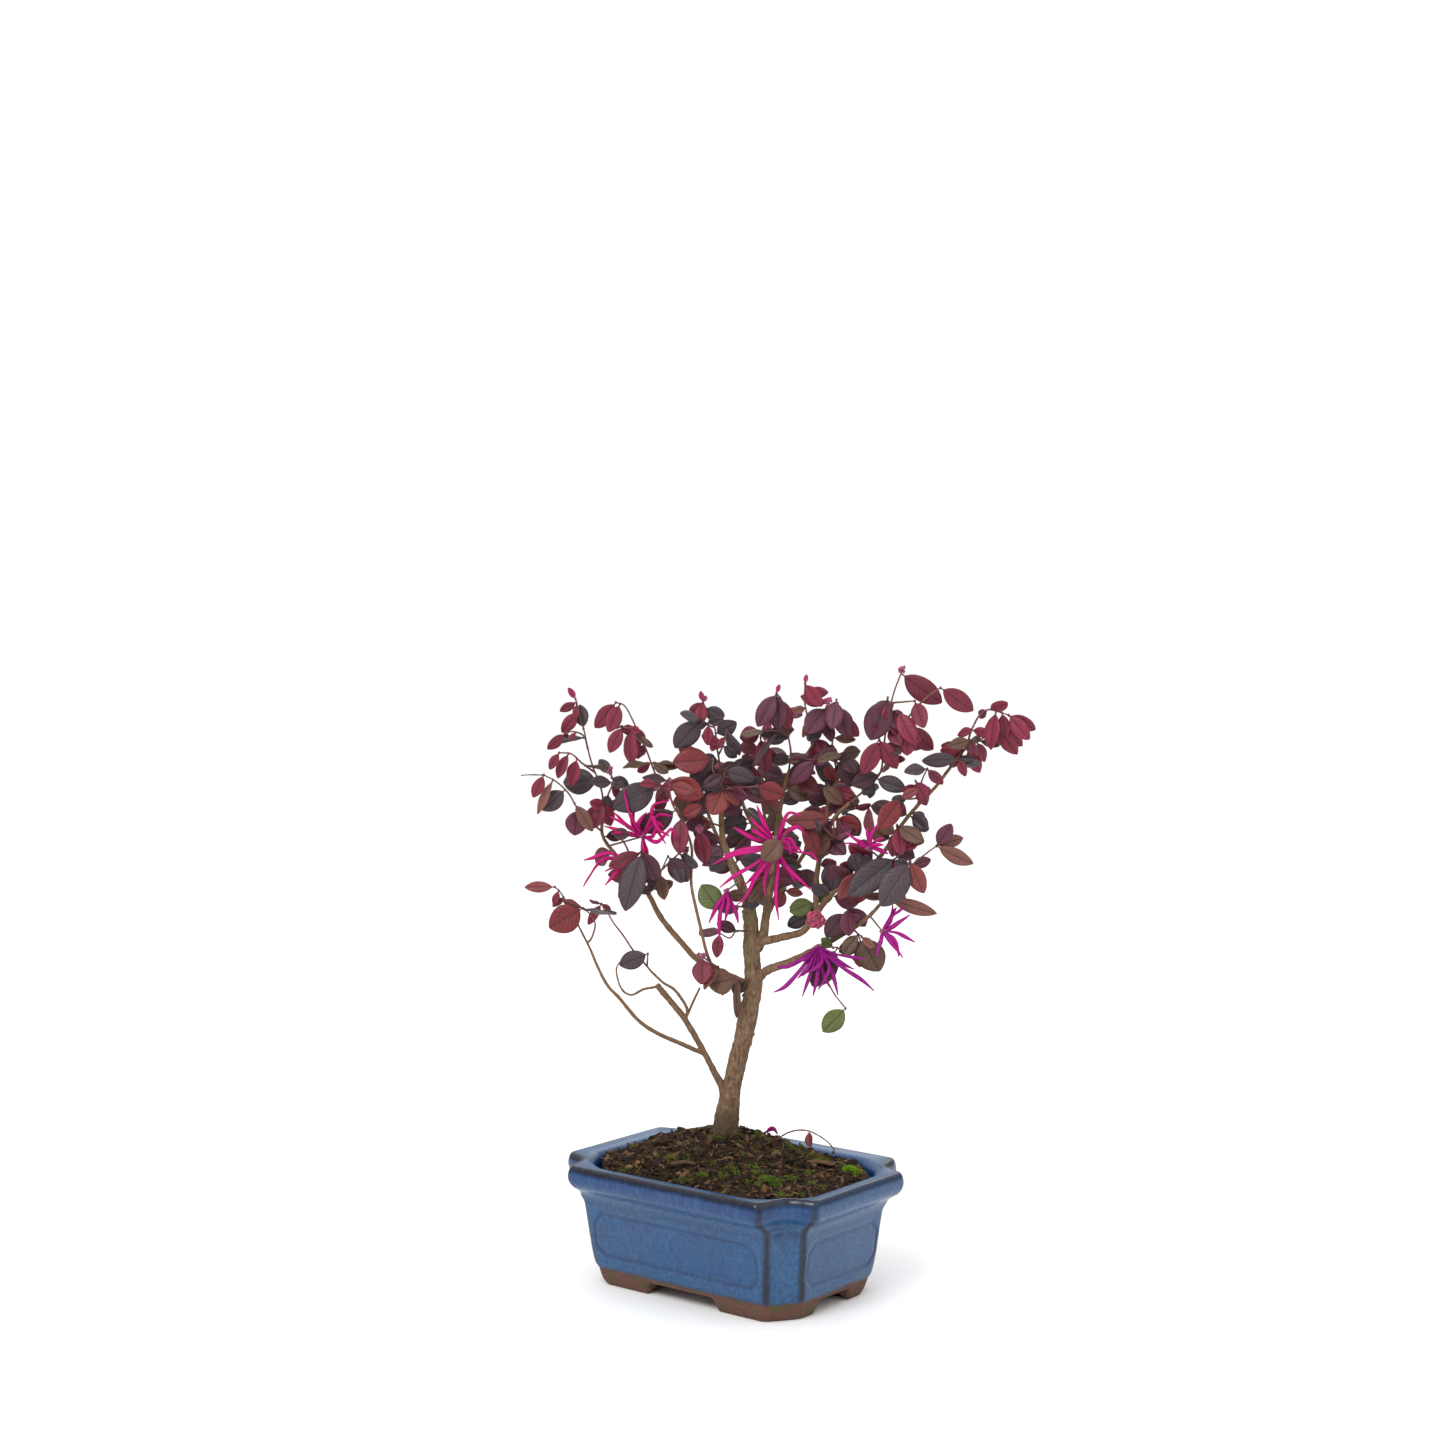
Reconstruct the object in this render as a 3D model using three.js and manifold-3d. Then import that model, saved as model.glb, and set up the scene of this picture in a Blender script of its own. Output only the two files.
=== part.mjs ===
// A flowering fringe-flower bonsai in a rectangular glazed pot with notched corners.
// Millimetres, +Z up. The pot's long side runs along X.
import * as THREE from 'three';
import Module from 'manifold-3d';

const wasm = await Module();
wasm.setup();
const { Manifold, Mesh } = wasm;

// ---------------------------------------------------------------- driving dimensions
const clearance = 0.3;            // left between pieces that touch

const potLength = 190;            // rim, outside, along X
const potWidth = 140;             // rim, outside, along Y
const potHeight = 75;
const wallThickness = 7;
const rimWidth = 14;              // flat top of the rim, to the inner lip
const rimCut = [22, 25];          // notch in each rim corner, along X and along Y
const bodyCut = [13, 18];         // notch in each body corner
const floorTop = 17;              // inner floor, above the table
const glazeLine = 11;             // where the glaze ends above the feet
const footHeight = 8.5;
const footInset = 22;             // foot sole, in from the rim's outline
const archLong = 46;              // gap between the feet on the long sides
const archShort = 26;             // and on the short sides
const archSlope = 5;              // how far a foot's end leans out over the gap
const footDepth = 13;             // thickness of the feet, seen from below
const drainRadius = 7;
const drainSpacing = 70;

const screenSize = 24;            // plastic mesh square over each drainage hole
const screenThickness = 1;
const screenBar = 1.6;
const screenHoles = 4;            // in a row

const soilEdge = 72.5;            // soil level at the pot's wall
const soilMound = 13.5;           // rise of the soil at the trunk
const moundSpread = 51;

const treeHeight = 290;           // soil to the top of the crown
const treeTurn = 38.5;            // the tree's best side looks over one corner of the pot, degrees
const trunkRadius = 5.6;
const shootRadius = 0.8;
const shootSides = 3;
const stalkWidth = 1.2;           // of a leaf, where it leaves its shoot
const leafThickness = 1;
const leafSize = 1;               // 1.2 grows every leaf by a fifth
const leafRoom = 1.5;             // air kept between one leaf and its neighbours
const petalWidth = 2.2;
const petalThickness = 0.8;
const heartRadius = 2.2;          // the knob the petals leave from
const budRadius = 1.6;

// ---------------------------------------------------------------- solids
function solidFromRings(rings) {
  // joins rings of points into one closed skin; a ring of one point closes an end
  const vertices = [];
  const faces = [];
  const starts = [];
  for (const ring of rings) {
    starts.push(vertices.length / 3);
    for (const point of ring) vertices.push(point.x, point.y, point.z);
  }
  for (let row = 0; row + 1 < rings.length; row += 1) {
    const lower = rings[row].length;
    const upper = rings[row + 1].length;
    const count = Math.max(lower, upper);
    for (let k = 0; k < count; k += 1) {
      const next = (k + 1) % count;
      const a = starts[row] + (k % lower);
      const b = starts[row] + (next % lower);
      const c = starts[row + 1] + (next % upper);
      const d = starts[row + 1] + (k % upper);
      if (lower > 1) faces.push(a, b, c);
      if (upper > 1) faces.push(a, c, d);
    }
  }
  return solidFromFaces(vertices, faces);
}

function solidFromFaces(vertices, faces) {
  let volume = 0;
  const corner = (index) => new THREE.Vector3().fromArray(vertices, 3 * index);
  for (let i = 0; i < faces.length; i += 3) {
    volume += corner(faces[i]).dot(corner(faces[i + 1]).cross(corner(faces[i + 2])));
  }
  if (volume < 0) faces.reverse();
  return new Manifold(new Mesh({
    numProp: 3,
    vertProperties: new Float32Array(vertices),
    triVerts: new Uint32Array(faces),
  }));
}

function solidFromGeometry(geometry) {
  const merged = new Map();
  const vertices = [];
  const faces = [];
  const flat = geometry.index ? geometry.toNonIndexed() : geometry;
  const position = flat.getAttribute('position');
  for (let i = 0; i < position.count; i += 1) {
    const key = [position.getX(i), position.getY(i), position.getZ(i)].map((v) => v.toFixed(4)).join();
    if (!merged.has(key)) {
      merged.set(key, merged.size);
      vertices.push(position.getX(i), position.getY(i), position.getZ(i));
    }
    faces.push(merged.get(key));
  }
  return solidFromFaces(vertices, faces);
}

function joined(solids) {
  return solids.reduce((sum, solid) => sum.add(solid));
}

function geometryFromSolid(solid) {
  const mesh = solid.getMesh();
  const geometry = new THREE.BufferGeometry();
  geometry.setAttribute('position', new THREE.BufferAttribute(new Float32Array(mesh.vertProperties), 3));
  geometry.setIndex(new THREE.BufferAttribute(new Uint32Array(mesh.triVerts), 1));
  geometry.computeVertexNormals();
  return geometry;
}

function addPiece(parent, name, solid, finish) {
  const [color, roughness] = finish;
  const material = new THREE.MeshStandardMaterial({ color, roughness, metalness: 0 });
  const mesh = new THREE.Mesh(geometryFromSolid(solid), material);
  mesh.name = name;
  parent.add(mesh);
}

function vector(point) {
  return new THREE.Vector3(point[0], point[1], point[2]);
}

function routeThrough(points) {
  return new THREE.CatmullRomCurve3(points, false, 'catmullrom', 0.5);
}

function limb(points, radii, sides) {
  // a tapering round limb through its points, with a closed end at each side
  const route = routeThrough(points);
  const steps = points.length - 1;
  const across = new THREE.Vector3(0.3, 1, 0.2);
  const rings = [[route.getPoint(0)]];
  for (let i = 0; i <= steps; i += 1) {
    const centre = route.getPoint(i / steps);
    const along = route.getTangent(i / steps);
    across.addScaledVector(along, -across.dot(along)).normalize();
    const other = along.clone().cross(across);
    const radius = radiusAt(radii, i / steps);
    const ring = [];
    for (let k = 0; k < sides; k += 1) {
      const angle = (2 * Math.PI * k) / sides;
      ring.push(centre.clone()
        .addScaledVector(across, radius * Math.cos(angle))
        .addScaledVector(other, radius * Math.sin(angle)));
    }
    rings.push(ring);
  }
  rings.push([route.getPoint(1)]);
  return solidFromRings(rings);
}

function radiusAt(radii, t) {
  // radii are spread evenly along the route
  const place = t * (radii.length - 1);
  const low = Math.min(Math.floor(place), radii.length - 2);
  return radii[low] + (radii[low + 1] - radii[low]) * (place - low);
}

// ---------------------------------------------------------------- the pot
function cornerCurve(tipA, tipB, corner, hollow) {
  // from one tip of a corner to the other, drawn in towards the notch's own corner
  const middle = [(tipA[0] + tipB[0]) / 2, (tipA[1] + tipB[1]) / 2];
  const pull = [
    middle[0] + hollow * (corner[0] - middle[0]),
    middle[1] + hollow * (corner[1] - middle[1]),
  ];
  const curve = new THREE.CubicBezierCurve(
    new THREE.Vector2(...tipA), new THREE.Vector2(...pull),
    new THREE.Vector2(...pull), new THREE.Vector2(...tipB));
  return curve.getPoints(4);
}

function potOutline(inset, cut, hollow, z) {
  const x = potLength / 2 - inset;
  const y = potWidth / 2 - inset;
  const ring = [];
  for (const [sx, sy] of [[1, -1], [1, 1], [-1, 1], [-1, -1]]) {
    const onLongSide = [sx * (x - cut[0]), sy * y];
    const onShortSide = [sx * x, sy * (y - cut[1])];
    const notch = [sx * (x - cut[0]), sy * (y - cut[1])];
    const longFirst = sx * sy < 0;
    const tips = longFirst ? [onLongSide, onShortSide] : [onShortSide, onLongSide];
    for (const point of cornerCurve(tips[0], tips[1], notch, hollow)) {
      ring.push(new THREE.Vector3(point.x, point.y, z));
    }
  }
  return ring;
}

const bandFoot = potHeight - 13.5;         // underside of the rim's band
const bodyInset = 11;                      // body's top edge, in from the rim
const baseInset = 18.4;                    // body's lower edge
const innerCut = [20, 20];
const innerFloorInset = baseInset + wallThickness - 1;

function innerInset(z) {
  // the inner wall follows the body's slope
  const share = (z - floorTop) / (potHeight - 6 - floorTop);
  return innerFloorInset + (rimWidth - innerFloorInset) * Math.min(1, Math.max(0, share));
}

function makePot() {
  const profile = [
    [footInset, bodyCut, 0, 0],
    [footInset - 1.6, bodyCut, 0, 1.5],
    [baseInset + 0.8, bodyCut, 0, glazeLine - 1],
    [baseInset, bodyCut, 0, glazeLine],
    [baseInset - 1.6, bodyCut, 0.1, glazeLine + 4],
    [baseInset - 3.2, bodyCut, 0.3, glazeLine + 11],
    [bodyInset, bodyCut, 1, bandFoot - 5],
    [bodyInset - 2.5, bodyCut, 1, bandFoot - 1.5],
    [3, [20, 23], 1, bandFoot],
    [0, rimCut, 1, bandFoot + 6],
    [0.8, rimCut, 1, potHeight - 1.2],
    [2.4, rimCut, 1, potHeight],
    [rimWidth - 3, [26, 26], 0, potHeight - 0.6],
    [rimWidth, [27, 27], 0, potHeight - 6],
    [innerFloorInset, innerCut, 0, floorTop],
  ];
  const rings = profile.map(([inset, cut, hollow, z]) => potOutline(inset, cut, hollow, z));
  rings.unshift([new THREE.Vector3(0, 0, 0)]);
  rings.push([new THREE.Vector3(0, 0, floorTop)]);
  let pot = solidFromRings(rings);

  const recess = potOutline(footInset + footDepth, bodyCut, 0, -1);
  const recessTop = recess.map((point) => new THREE.Vector3(point.x, point.y, footHeight));
  pot = pot.subtract(solidFromRings([
    [new THREE.Vector3(0, 0, -1)], recess, recessTop, [new THREE.Vector3(0, 0, footHeight)],
  ]));
  pot = pot.subtract(archCutter(archLong, potWidth, 0));
  pot = pot.subtract(archCutter(archShort, potLength, Math.PI / 2));
  for (const side of [-1, 1]) {
    const drill = new THREE.CylinderGeometry(drainRadius, drainRadius, floorTop + 2, 16);
    drill.rotateX(Math.PI / 2);
    drill.translate(side * drainSpacing / 2, 0, (floorTop + 2) / 2);
    pot = pot.subtract(solidFromGeometry(drill));
  }
  return pot;
}

function archCutter(width, reach, turn) {
  // bracket-shaped opening between two feet, cut through from side to side
  const shape = new THREE.Shape();
  const top = width / 2;
  const foot = top + archSlope;
  shape.moveTo(-foot, -1);
  shape.lineTo(-foot, 0.6);
  shape.quadraticCurveTo(-foot + 1.5, footHeight * 0.45, -top - 1, footHeight * 0.6);
  shape.lineTo(-top, footHeight);
  shape.lineTo(top, footHeight);
  shape.lineTo(top + 1, footHeight * 0.6);
  shape.quadraticCurveTo(foot - 1.5, footHeight * 0.45, foot, 0.6);
  shape.lineTo(foot, -1);
  const block = new THREE.ExtrudeGeometry(shape, { depth: reach, bevelEnabled: false, curveSegments: 3 });
  block.translate(0, 0, -reach / 2);
  block.rotateX(Math.PI / 2);
  block.rotateZ(turn);
  return solidFromGeometry(block);
}

function makeScreen(side) {
  // a square of plastic mesh: a thin plate with rows of square holes
  const place = (geometry, x, y) => solidFromGeometry(geometry.translate(
    side * drainSpacing / 2 + x, y, floorTop + clearance + screenThickness / 2));
  let screen = place(new THREE.BoxGeometry(screenSize, screenSize, screenThickness), 0, 0);
  const pitch = (screenSize - screenBar) / screenHoles;
  const middle = (screenHoles - 1) / 2;
  for (let row = 0; row < screenHoles; row += 1) {
    for (let column = 0; column < screenHoles; column += 1) {
      const hole = new THREE.BoxGeometry(pitch - screenBar, pitch - screenBar, 2 * screenThickness);
      screen = screen.subtract(place(hole, (column - middle) * pitch, (row - middle) * pitch));
    }
  }
  return screen;
}

// ---------------------------------------------------------------- the soil and what lies on it
const turn = THREE.MathUtils.degToRad(treeTurn);
const treeFoot = new THREE.Vector3(-4, 26, soilEdge + soilMound);    // in the tree's own directions
const moundTop = treeFoot.clone().applyAxisAngle(new THREE.Vector3(0, 0, 1), turn);

function soilHeight(x, y) {
  const far = Math.hypot(x - moundTop.x, y - moundTop.y) / moundSpread;
  const lumps = 0.7 * Math.sin(x * 0.31 + 1) * Math.cos(y * 0.27) + 0.4 * Math.sin(x * 0.13 - y * 0.21);
  return soilEdge + soilMound * Math.exp(-far * far) + lumps;
}

function makeSoil() {
  const wall = (z, extra) => potOutline(innerInset(z) + extra, z > 40 ? [27, 27] : innerCut, 0, z);
  const rings = [
    [new THREE.Vector3(0, 0, floorTop + clearance)],
    wall(floorTop + clearance, clearance + 0.2),
    wall(soilEdge - 3, clearance + 0.2),
  ];
  const rim = wall(soilEdge - 3, clearance + 0.4);
  for (const share of [1, 0.82, 0.6, 0.4, 0.2]) {
    rings.push(rim.map((point) => {
      const x = moundTop.x * (1 - share) + point.x * share;
      const y = moundTop.y * (1 - share) + point.y * share;
      return new THREE.Vector3(x, y, soilHeight(x, y));
    }));
  }
  rings.push([new THREE.Vector3(moundTop.x, moundTop.y, soilHeight(moundTop.x, moundTop.y))]);
  let soil = solidFromRings(rings);
  for (const side of [-1, 1]) {
    const pocket = new THREE.BoxGeometry(
      screenSize + 2 * clearance, screenSize + 2 * clearance, screenThickness + 2 * clearance);
    pocket.translate(side * drainSpacing / 2, 0, floorTop + clearance + screenThickness / 2);
    soil = soil.subtract(solidFromGeometry(pocket));
  }
  const socket = limb(trunkPoints.slice(0, 3), trunkRadii.slice(0, 3).map((r) => r + clearance + 0.3), 12);
  const below = limb([trunkPoints[0].clone().setZ(trunkPoints[0].z - 1), trunkPoints[0]],
    [trunkRadii[0] + clearance + 0.3, trunkRadii[0] + clearance + 0.3], 12);
  const hole = geometryFromSolid(socket.add(below)).rotateZ(turn);
  return soil.subtract(solidFromGeometry(hole));
}

function moundOnSoil(x, y, reach, height, sides, soil) {
  // a low cushion that sits in the soil's own surface
  const base = soilHeight(x, y) - 4;
  const rings = [[new THREE.Vector3(x, y, base)]];
  for (const [share, rise] of [[0.85, 0], [1, 4 + height * 0.35], [0.62, 4 + height * 0.85]]) {
    const ring = [];
    for (let k = 0; k < sides; k += 1) {
      const angle = (2 * Math.PI * k) / sides;
      const wobble = 1 + 0.16 * Math.sin(3 * angle + x);
      ring.push(new THREE.Vector3(
        x + reach[0] * share * wobble * Math.cos(angle),
        y + reach[1] * share * wobble * Math.sin(angle), base + rise));
    }
    rings.push(ring);
  }
  rings.push([new THREE.Vector3(x, y, base + 4 + height)]);
  return solidFromRings(rings).subtract(raised(soil));
}

function raised(soil) {
  return soil.translate([0, 0, clearance]);
}

function plankOnSoil(x, y, size, angle, soil) {
  const plank = new THREE.BoxGeometry(size[0], size[1], size[2], 4, 1, 1);
  const position = plank.getAttribute('position');
  for (let i = 0; i < position.count; i += 1) {
    const share = position.getX(i) / size[0];
    position.setZ(i, position.getZ(i) + 1.2 * Math.cos(4 * share));
    position.setY(i, position.getY(i) * (1 - 0.5 * share * share));
  }
  plank.rotateZ(angle);
  plank.translate(x, y, soilHeight(x, y) + size[2] * 0.55);
  return solidFromGeometry(plank).subtract(raised(soil));
}

// ---------------------------------------------------------------- the tree's wood
// Points are in the tree's own directions: x to the right of its best side, y away, z up,
// for a tree of the height below; grown() turns them into the height asked for.
const layoutHeight = 290;
const layoutFoot = new THREE.Vector3(-4, 26, 86);

function grown(point) {
  return vector(point).sub(layoutFoot).multiplyScalar(treeHeight / layoutHeight).add(treeFoot);
}

const wood = {
  trunk: {
    radii: [1.1, 1.43, 1.16, 1.02, 1, 1, 1.08, 0.95, 0.9, 0.92, 0.86, 0.72, 0.55].map((r) => r * trunkRadius),
    way: [[-6, 27, 68], [-4.5, 26, 88], [-2.5, 26, 105], [0, 26, 117], [3.5, 26, 133], [6.6, 26, 146],
      [9.6, 26, 162], [12.4, 25, 176], [11.8, 25, 187], [11.2, 24, 199], [11, 23, 212], [10.2, 22, 223],
      [7.5, 22, 236]],
  },
  left_stem: {
    radii: [3, 1.9, 1.9],
    way: [[-4, 26, 104], [-7, 24, 116], [-11, 22, 124], [-17, 20, 136], [-29, 16, 158], [-46, 12, 180]],
  },
  long_left: {
    radii: [1.5, 0.8],
    way: [[-17, 20, 136], [-32, 14, 144], [-45, 8, 151], [-57, 4, 160], [-68, 0, 174], [-75, -2, 182],
      [-81, -4, 194], [-85, -4, 204]],
  },
  middle_left_low: {
    radii: [1.1, 0.8],
    way: [[-29, 16, 158], [-28, 12, 166], [-35, 10, 177], [-42, 8, 182], [-49, 6, 189]],
  },
  bud_twig: { radii: [0.9, 0.7], way: [[-29, 16, 158], [-24, 18, 169], [-20, 20, 177]] },
  stub_twig: {
    radii: [0.9, 0.5],
    way: [[-45, 12, 179], [-54, 8, 178], [-61, 6, 175], [-67, 4, 179], [-70, 2, 190], [-68, 0, 196]],
  },
  left_limb: {
    radii: [2.4, 1.9, 1.8, 1.2, 1],
    way: [[12, 25, 176], [5, 24, 180], [-7, 22, 186], [-21, 18, 194], [-31, 16, 205], [-43, 14, 220],
      [-50, 14, 233], [-56, 14, 243], [-69, 14, 257], [-78, 14, 269], [-79, 14, 280]],
  },
  thin_stem: {
    radii: [1.1, 0.8],
    way: [[-12, 20, 188], [-16, 10, 200], [-19, 8, 213], [-22, 6, 226], [-25, 6, 241], [-25, 8, 252],
      [-25, 10, 264], [-29, 12, 276], [-34, 12, 288]],
  },
  upper_left: {
    radii: [3, 2, 1.3],
    way: [[8, 22, 233], [2, 22, 245], [-2, 23, 255], [-6, 24, 266], [-7, 25, 277], [-7, 23, 290],
      [-8, 20, 302]],
  },
  upper_middle: {
    radii: [3.2, 2, 1.1],
    way: [[12, 23, 196], [18, 22, 207], [20, 24, 220], [22, 26, 233], [24, 30, 247], [26, 32, 262],
      [28, 34, 280], [31, 34, 296], [34, 32, 308]],
  },
  middle_left: {
    radii: [1.4, 0.8],
    way: [[25, 31, 255], [16, 36, 268], [8, 38, 282], [5, 38, 294], [8, 38, 304]],
  },
  right_low: {
    radii: [3.1, 1.7, 1.1],
    way: [[12.4, 24, 177], [20, 20, 187], [33, 14, 193], [45, 8, 200], [57, 4, 207], [66, 0, 213],
      [73, -4, 218], [81, -8, 225], [88, -10, 233]],
  },
  right_high: {
    radii: [2.8, 1.9, 1.3, 1],
    way: [[11, 23, 204], [20, 18, 206], [31, 14, 209], [42, 10, 213], [50, 8, 224], [58, 6, 235],
      [68, 4, 244], [80, 2, 251], [90, 2, 262], [100, 4, 277], [110, 6, 289], [120, 8, 299],
      [130, 8, 312]],
  },
  right_inner: {
    radii: [1.9, 1.2],
    way: [[50, 8, 224], [50, 14, 240], [52, 18, 255], [56, 18, 270], [62, 16, 282], [70, 14, 290]],
  },
  right_back: {
    radii: [1.2, 0.9],
    way: [[56, 18, 270], [57, 24, 284], [60, 27, 296], [64, 27, 304]],
  },
  back_left: {
    radii: [2, 1], way: [[9, 22, 230], [3, 36, 246], [-8, 52, 262], [-16, 64, 280]],
  },
  back_right: {
    radii: [2, 1], way: [[20, 24, 220], [30, 38, 236], [44, 56, 254], [56, 68, 274]],
  },
  back_middle: {
    radii: [1.4, 0.9], way: [[24, 30, 247], [22, 48, 266], [18, 60, 286]],
  },
};

const trunkPoints = wood.trunk.way.map(grown);
const trunkRadii = wood.trunk.radii;
for (const branch of Object.values(wood)) {
  branch.points = branch.way.map(grown);
  branch.route = routeThrough(branch.points);
}

function makeWood() {
  return joined(Object.entries(wood).map(([name, branch]) => {
    const sides = name === 'trunk' ? 10 : branch.radii[0] > 1.7 ? 6 : 5;
    return limb(branch.points, branch.radii, sides);
  }));
}

// ---------------------------------------------------------------- keeping leaves, shoots and petals apart
const shootRadii = [shootRadius, 0.85 * shootRadius];
const rods = [];                  // straight lengths of wood, shoot and petal, with their owners
const blades = [];                // leaves already grown

function addRods(points, radius, owner) {
  for (let i = 0; i + 1 < points.length; i += 1) {
    rods.push({ a: points[i], b: points[i + 1], radius, owner });
  }
}

function gapBetween(a, b, c, d) {
  // shortest distance between the straight lines a-b and c-d
  const u = b.clone().sub(a);
  const v = d.clone().sub(c);
  const w = a.clone().sub(c);
  const uu = Math.max(u.dot(u), 1e-9);
  const vv = Math.max(v.dot(v), 1e-9);
  const uv = u.dot(v);
  const uw = u.dot(w);
  const vw = v.dot(w);
  const spread = uu * vv - uv * uv;
  const clamp = (value) => Math.min(1, Math.max(0, value));
  let s = spread > 1e-9 ? clamp((uv * vw - vv * uw) / spread) : 0;
  const t = clamp((uv * s + vw) / vv);
  s = clamp((uv * t - uw) / uu);
  return w.addScaledVector(u, s).addScaledVector(v, -t).length();
}

function wayIsClear(points, radius, owner, parent, room) {
  for (let i = 0; i + 1 < points.length; i += 1) {
    for (const rod of rods) {
      if (rod.owner === owner || (i === 0 && rod.owner === parent)) continue;
      if (gapBetween(points[i], points[i + 1], rod.a, rod.b) < radius + rod.radius + room) return false;
    }
  }
  return true;
}

function settledWay(points, radius, owner, parent, room) {
  // leans a way forwards or backwards until it clears everything already there
  for (const lean of [0, -2, 2, -4, 4, -6, 6, -9, 9, -12, 12, -16, 16]) {
    const tried = points.map((point, i) => {
      const share = Math.min(1, 1.5 * i / (points.length - 1));
      return point.clone().add(new THREE.Vector3(0, lean * share, 0));
    });
    if (wayIsClear(tried, radius, owner, parent, room)) return tried;
  }
  throw new Error(`no clear way for ${owner}`);
}

// ---------------------------------------------------------------- leaves
const leafWidth = {
  young: 0.5, mature: 0.6, dark: 0.55, dusky: 0.6, tan: 0.4, olive: 0.55, red: 0.6, salmon: 0.5,
  green: 0.7, bud: 0.5,
};

function halfWidthAt(leaf, along) {
  return leaf.halfWidth * Math.sin(Math.PI * Math.min(0.999, Math.max(0.001, along))) ** 0.75;
}

function bladeLift(leaf, along, side) {
  // the blade folds up from its midrib and its tip droops
  return leaf.fold * Math.abs(side) * halfWidthAt(leaf, along) - leaf.droop * leaf.length * along * along;
}

function bladePoint(leaf, along, side, raise = 0) {
  const clamped = Math.min(1, along);
  return leaf.root.clone()
    .addScaledVector(leaf.direction, along * leaf.length)
    .addScaledVector(leaf.across, side * halfWidthAt(leaf, clamped))
    .addScaledVector(leaf.out, bladeLift(leaf, clamped, side) + raise);
}

function makeLeaf(root, heading, lean, face, length, width, sway) {
  // heading: clockwise from up; lean: towards the tree's best side; face: roll about its own length
  const h = THREE.MathUtils.degToRad(heading);
  const l = THREE.MathUtils.degToRad(lean);
  const f = THREE.MathUtils.degToRad(face);
  const direction = new THREE.Vector3(
    Math.sin(h) * Math.cos(l), -Math.sin(l), Math.cos(h) * Math.cos(l));
  const out = new THREE.Vector3(0, -1, 0);
  out.addScaledVector(direction, -out.dot(direction)).normalize();
  const side = direction.clone().cross(out);
  out.multiplyScalar(Math.cos(f)).addScaledVector(side, Math.sin(f));
  return {
    root, direction, out, across: direction.clone().cross(out), length, halfWidth: width / 2,
    fold: 0.12 + 0.08 * sway, droop: 0.1 + 0.08 * sway,
    centre: root.clone().addScaledVector(direction, length * 0.55),
    reach: length * 0.45 + width / 2 + 1,
  };
}

function lineMeetsBlade(leaf, from, to, room, least) {
  // true when the straight line from-to comes nearer to the blade than the room asked for
  const ends = [from, to].map((point) => {
    const offset = point.clone().sub(leaf.root);
    const along = offset.dot(leaf.direction) / leaf.length;
    const across = offset.dot(leaf.across);
    const width = halfWidthAt(leaf, Math.min(along, 0.95));
    const side = Math.min(1, Math.abs(across) / Math.max(width, 0.5));
    const lift = bladeLift(leaf, Math.min(1, Math.max(0, along)), side);
    return { along, across, off: offset.dot(leaf.out) - lift };
  });
  const [p, q] = ends;
  if (Math.min(p.off, q.off) > room || Math.max(p.off, q.off) < -room) return false;
  const steps = Math.ceil(from.distanceTo(to) / 1.5);
  for (let i = 0; i <= steps; i += 1) {
    const t = i / steps;
    const along = p.along + (q.along - p.along) * t;
    const across = p.across + (q.across - p.across) * t;
    const off = p.off + (q.off - p.off) * t;
    const inLength = along > least && (along - 1) * leaf.length < room;
    if (inLength && Math.abs(off) < room && Math.abs(across) < halfWidthAt(leaf, along) + room) return true;
  }
  return false;
}

const edgeStops = [[0.22, -1], [0.4, -1], [0.6, -1], [0.8, -1], [1, 0], [0.8, 1], [0.6, 1], [0.4, 1],
  [0.22, 1], [0.22, 0], [0.6, 0], [1, 0]];

function bladesMeet(leaf, other) {
  if (leaf.centre.distanceTo(other.centre) > leaf.reach + other.reach) return false;
  for (const [one, two] of [[leaf, other], [other, leaf]]) {
    for (let i = 0; i + 1 < one.edge.length; i += 1) {
      if (lineMeetsBlade(two, one.edge[i], one.edge[i + 1], leafRoom, 0.2)) return true;
    }
  }
  return false;
}

function leafIsClear(leaf, owner) {
  leaf.edge = edgeStops.map(([along, side]) => bladePoint(leaf, along, side));
  const stalkEnd = bladePoint(leaf, 0.22, 0);
  for (const rod of rods) {
    const middle = rod.a.clone().add(rod.b).multiplyScalar(0.5);
    const reach = rod.a.distanceTo(rod.b) / 2 + leaf.reach + rod.radius;
    if (middle.distanceTo(leaf.centre) > reach + 3) continue;
    const own = rod.owner === owner;
    const least = own ? Math.max(0.22, 4 / leaf.length) : 0.15;
    if (lineMeetsBlade(leaf, rod.a, rod.b, rod.radius + 1, least)) return false;
    if (!own && gapBetween(leaf.root, stalkEnd, rod.a, rod.b) < rod.radius + 1.4) return false;
  }
  for (const other of blades) {
    if (bladesMeet(leaf, other)) return false;
    if (other.owner !== owner) {
      if (lineMeetsBlade(other, leaf.root, stalkEnd, 1.4, 0)) return false;
      if (lineMeetsBlade(leaf, other.root, other.stalkEnd, 1.4, 0)) return false;
    }
  }
  leaf.stalkEnd = stalkEnd;
  leaf.owner = owner;
  return true;
}

const smallTurns = [];
for (const heading of [0, 8, -8, 16, -16, 26, -26]) {
  for (const lean of [0, 14, -14, 28, -28, 42, -42]) {
    for (const face of [0, 30, -30, 60]) smallTurns.push([heading, lean, face]);
  }
}
const turnCost = ([heading, lean, face]) => Math.abs(heading) * 3 + Math.abs(lean) * 1.5 + Math.abs(face);
smallTurns.sort((one, two) => turnCost(one) - turnCost(two));

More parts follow.
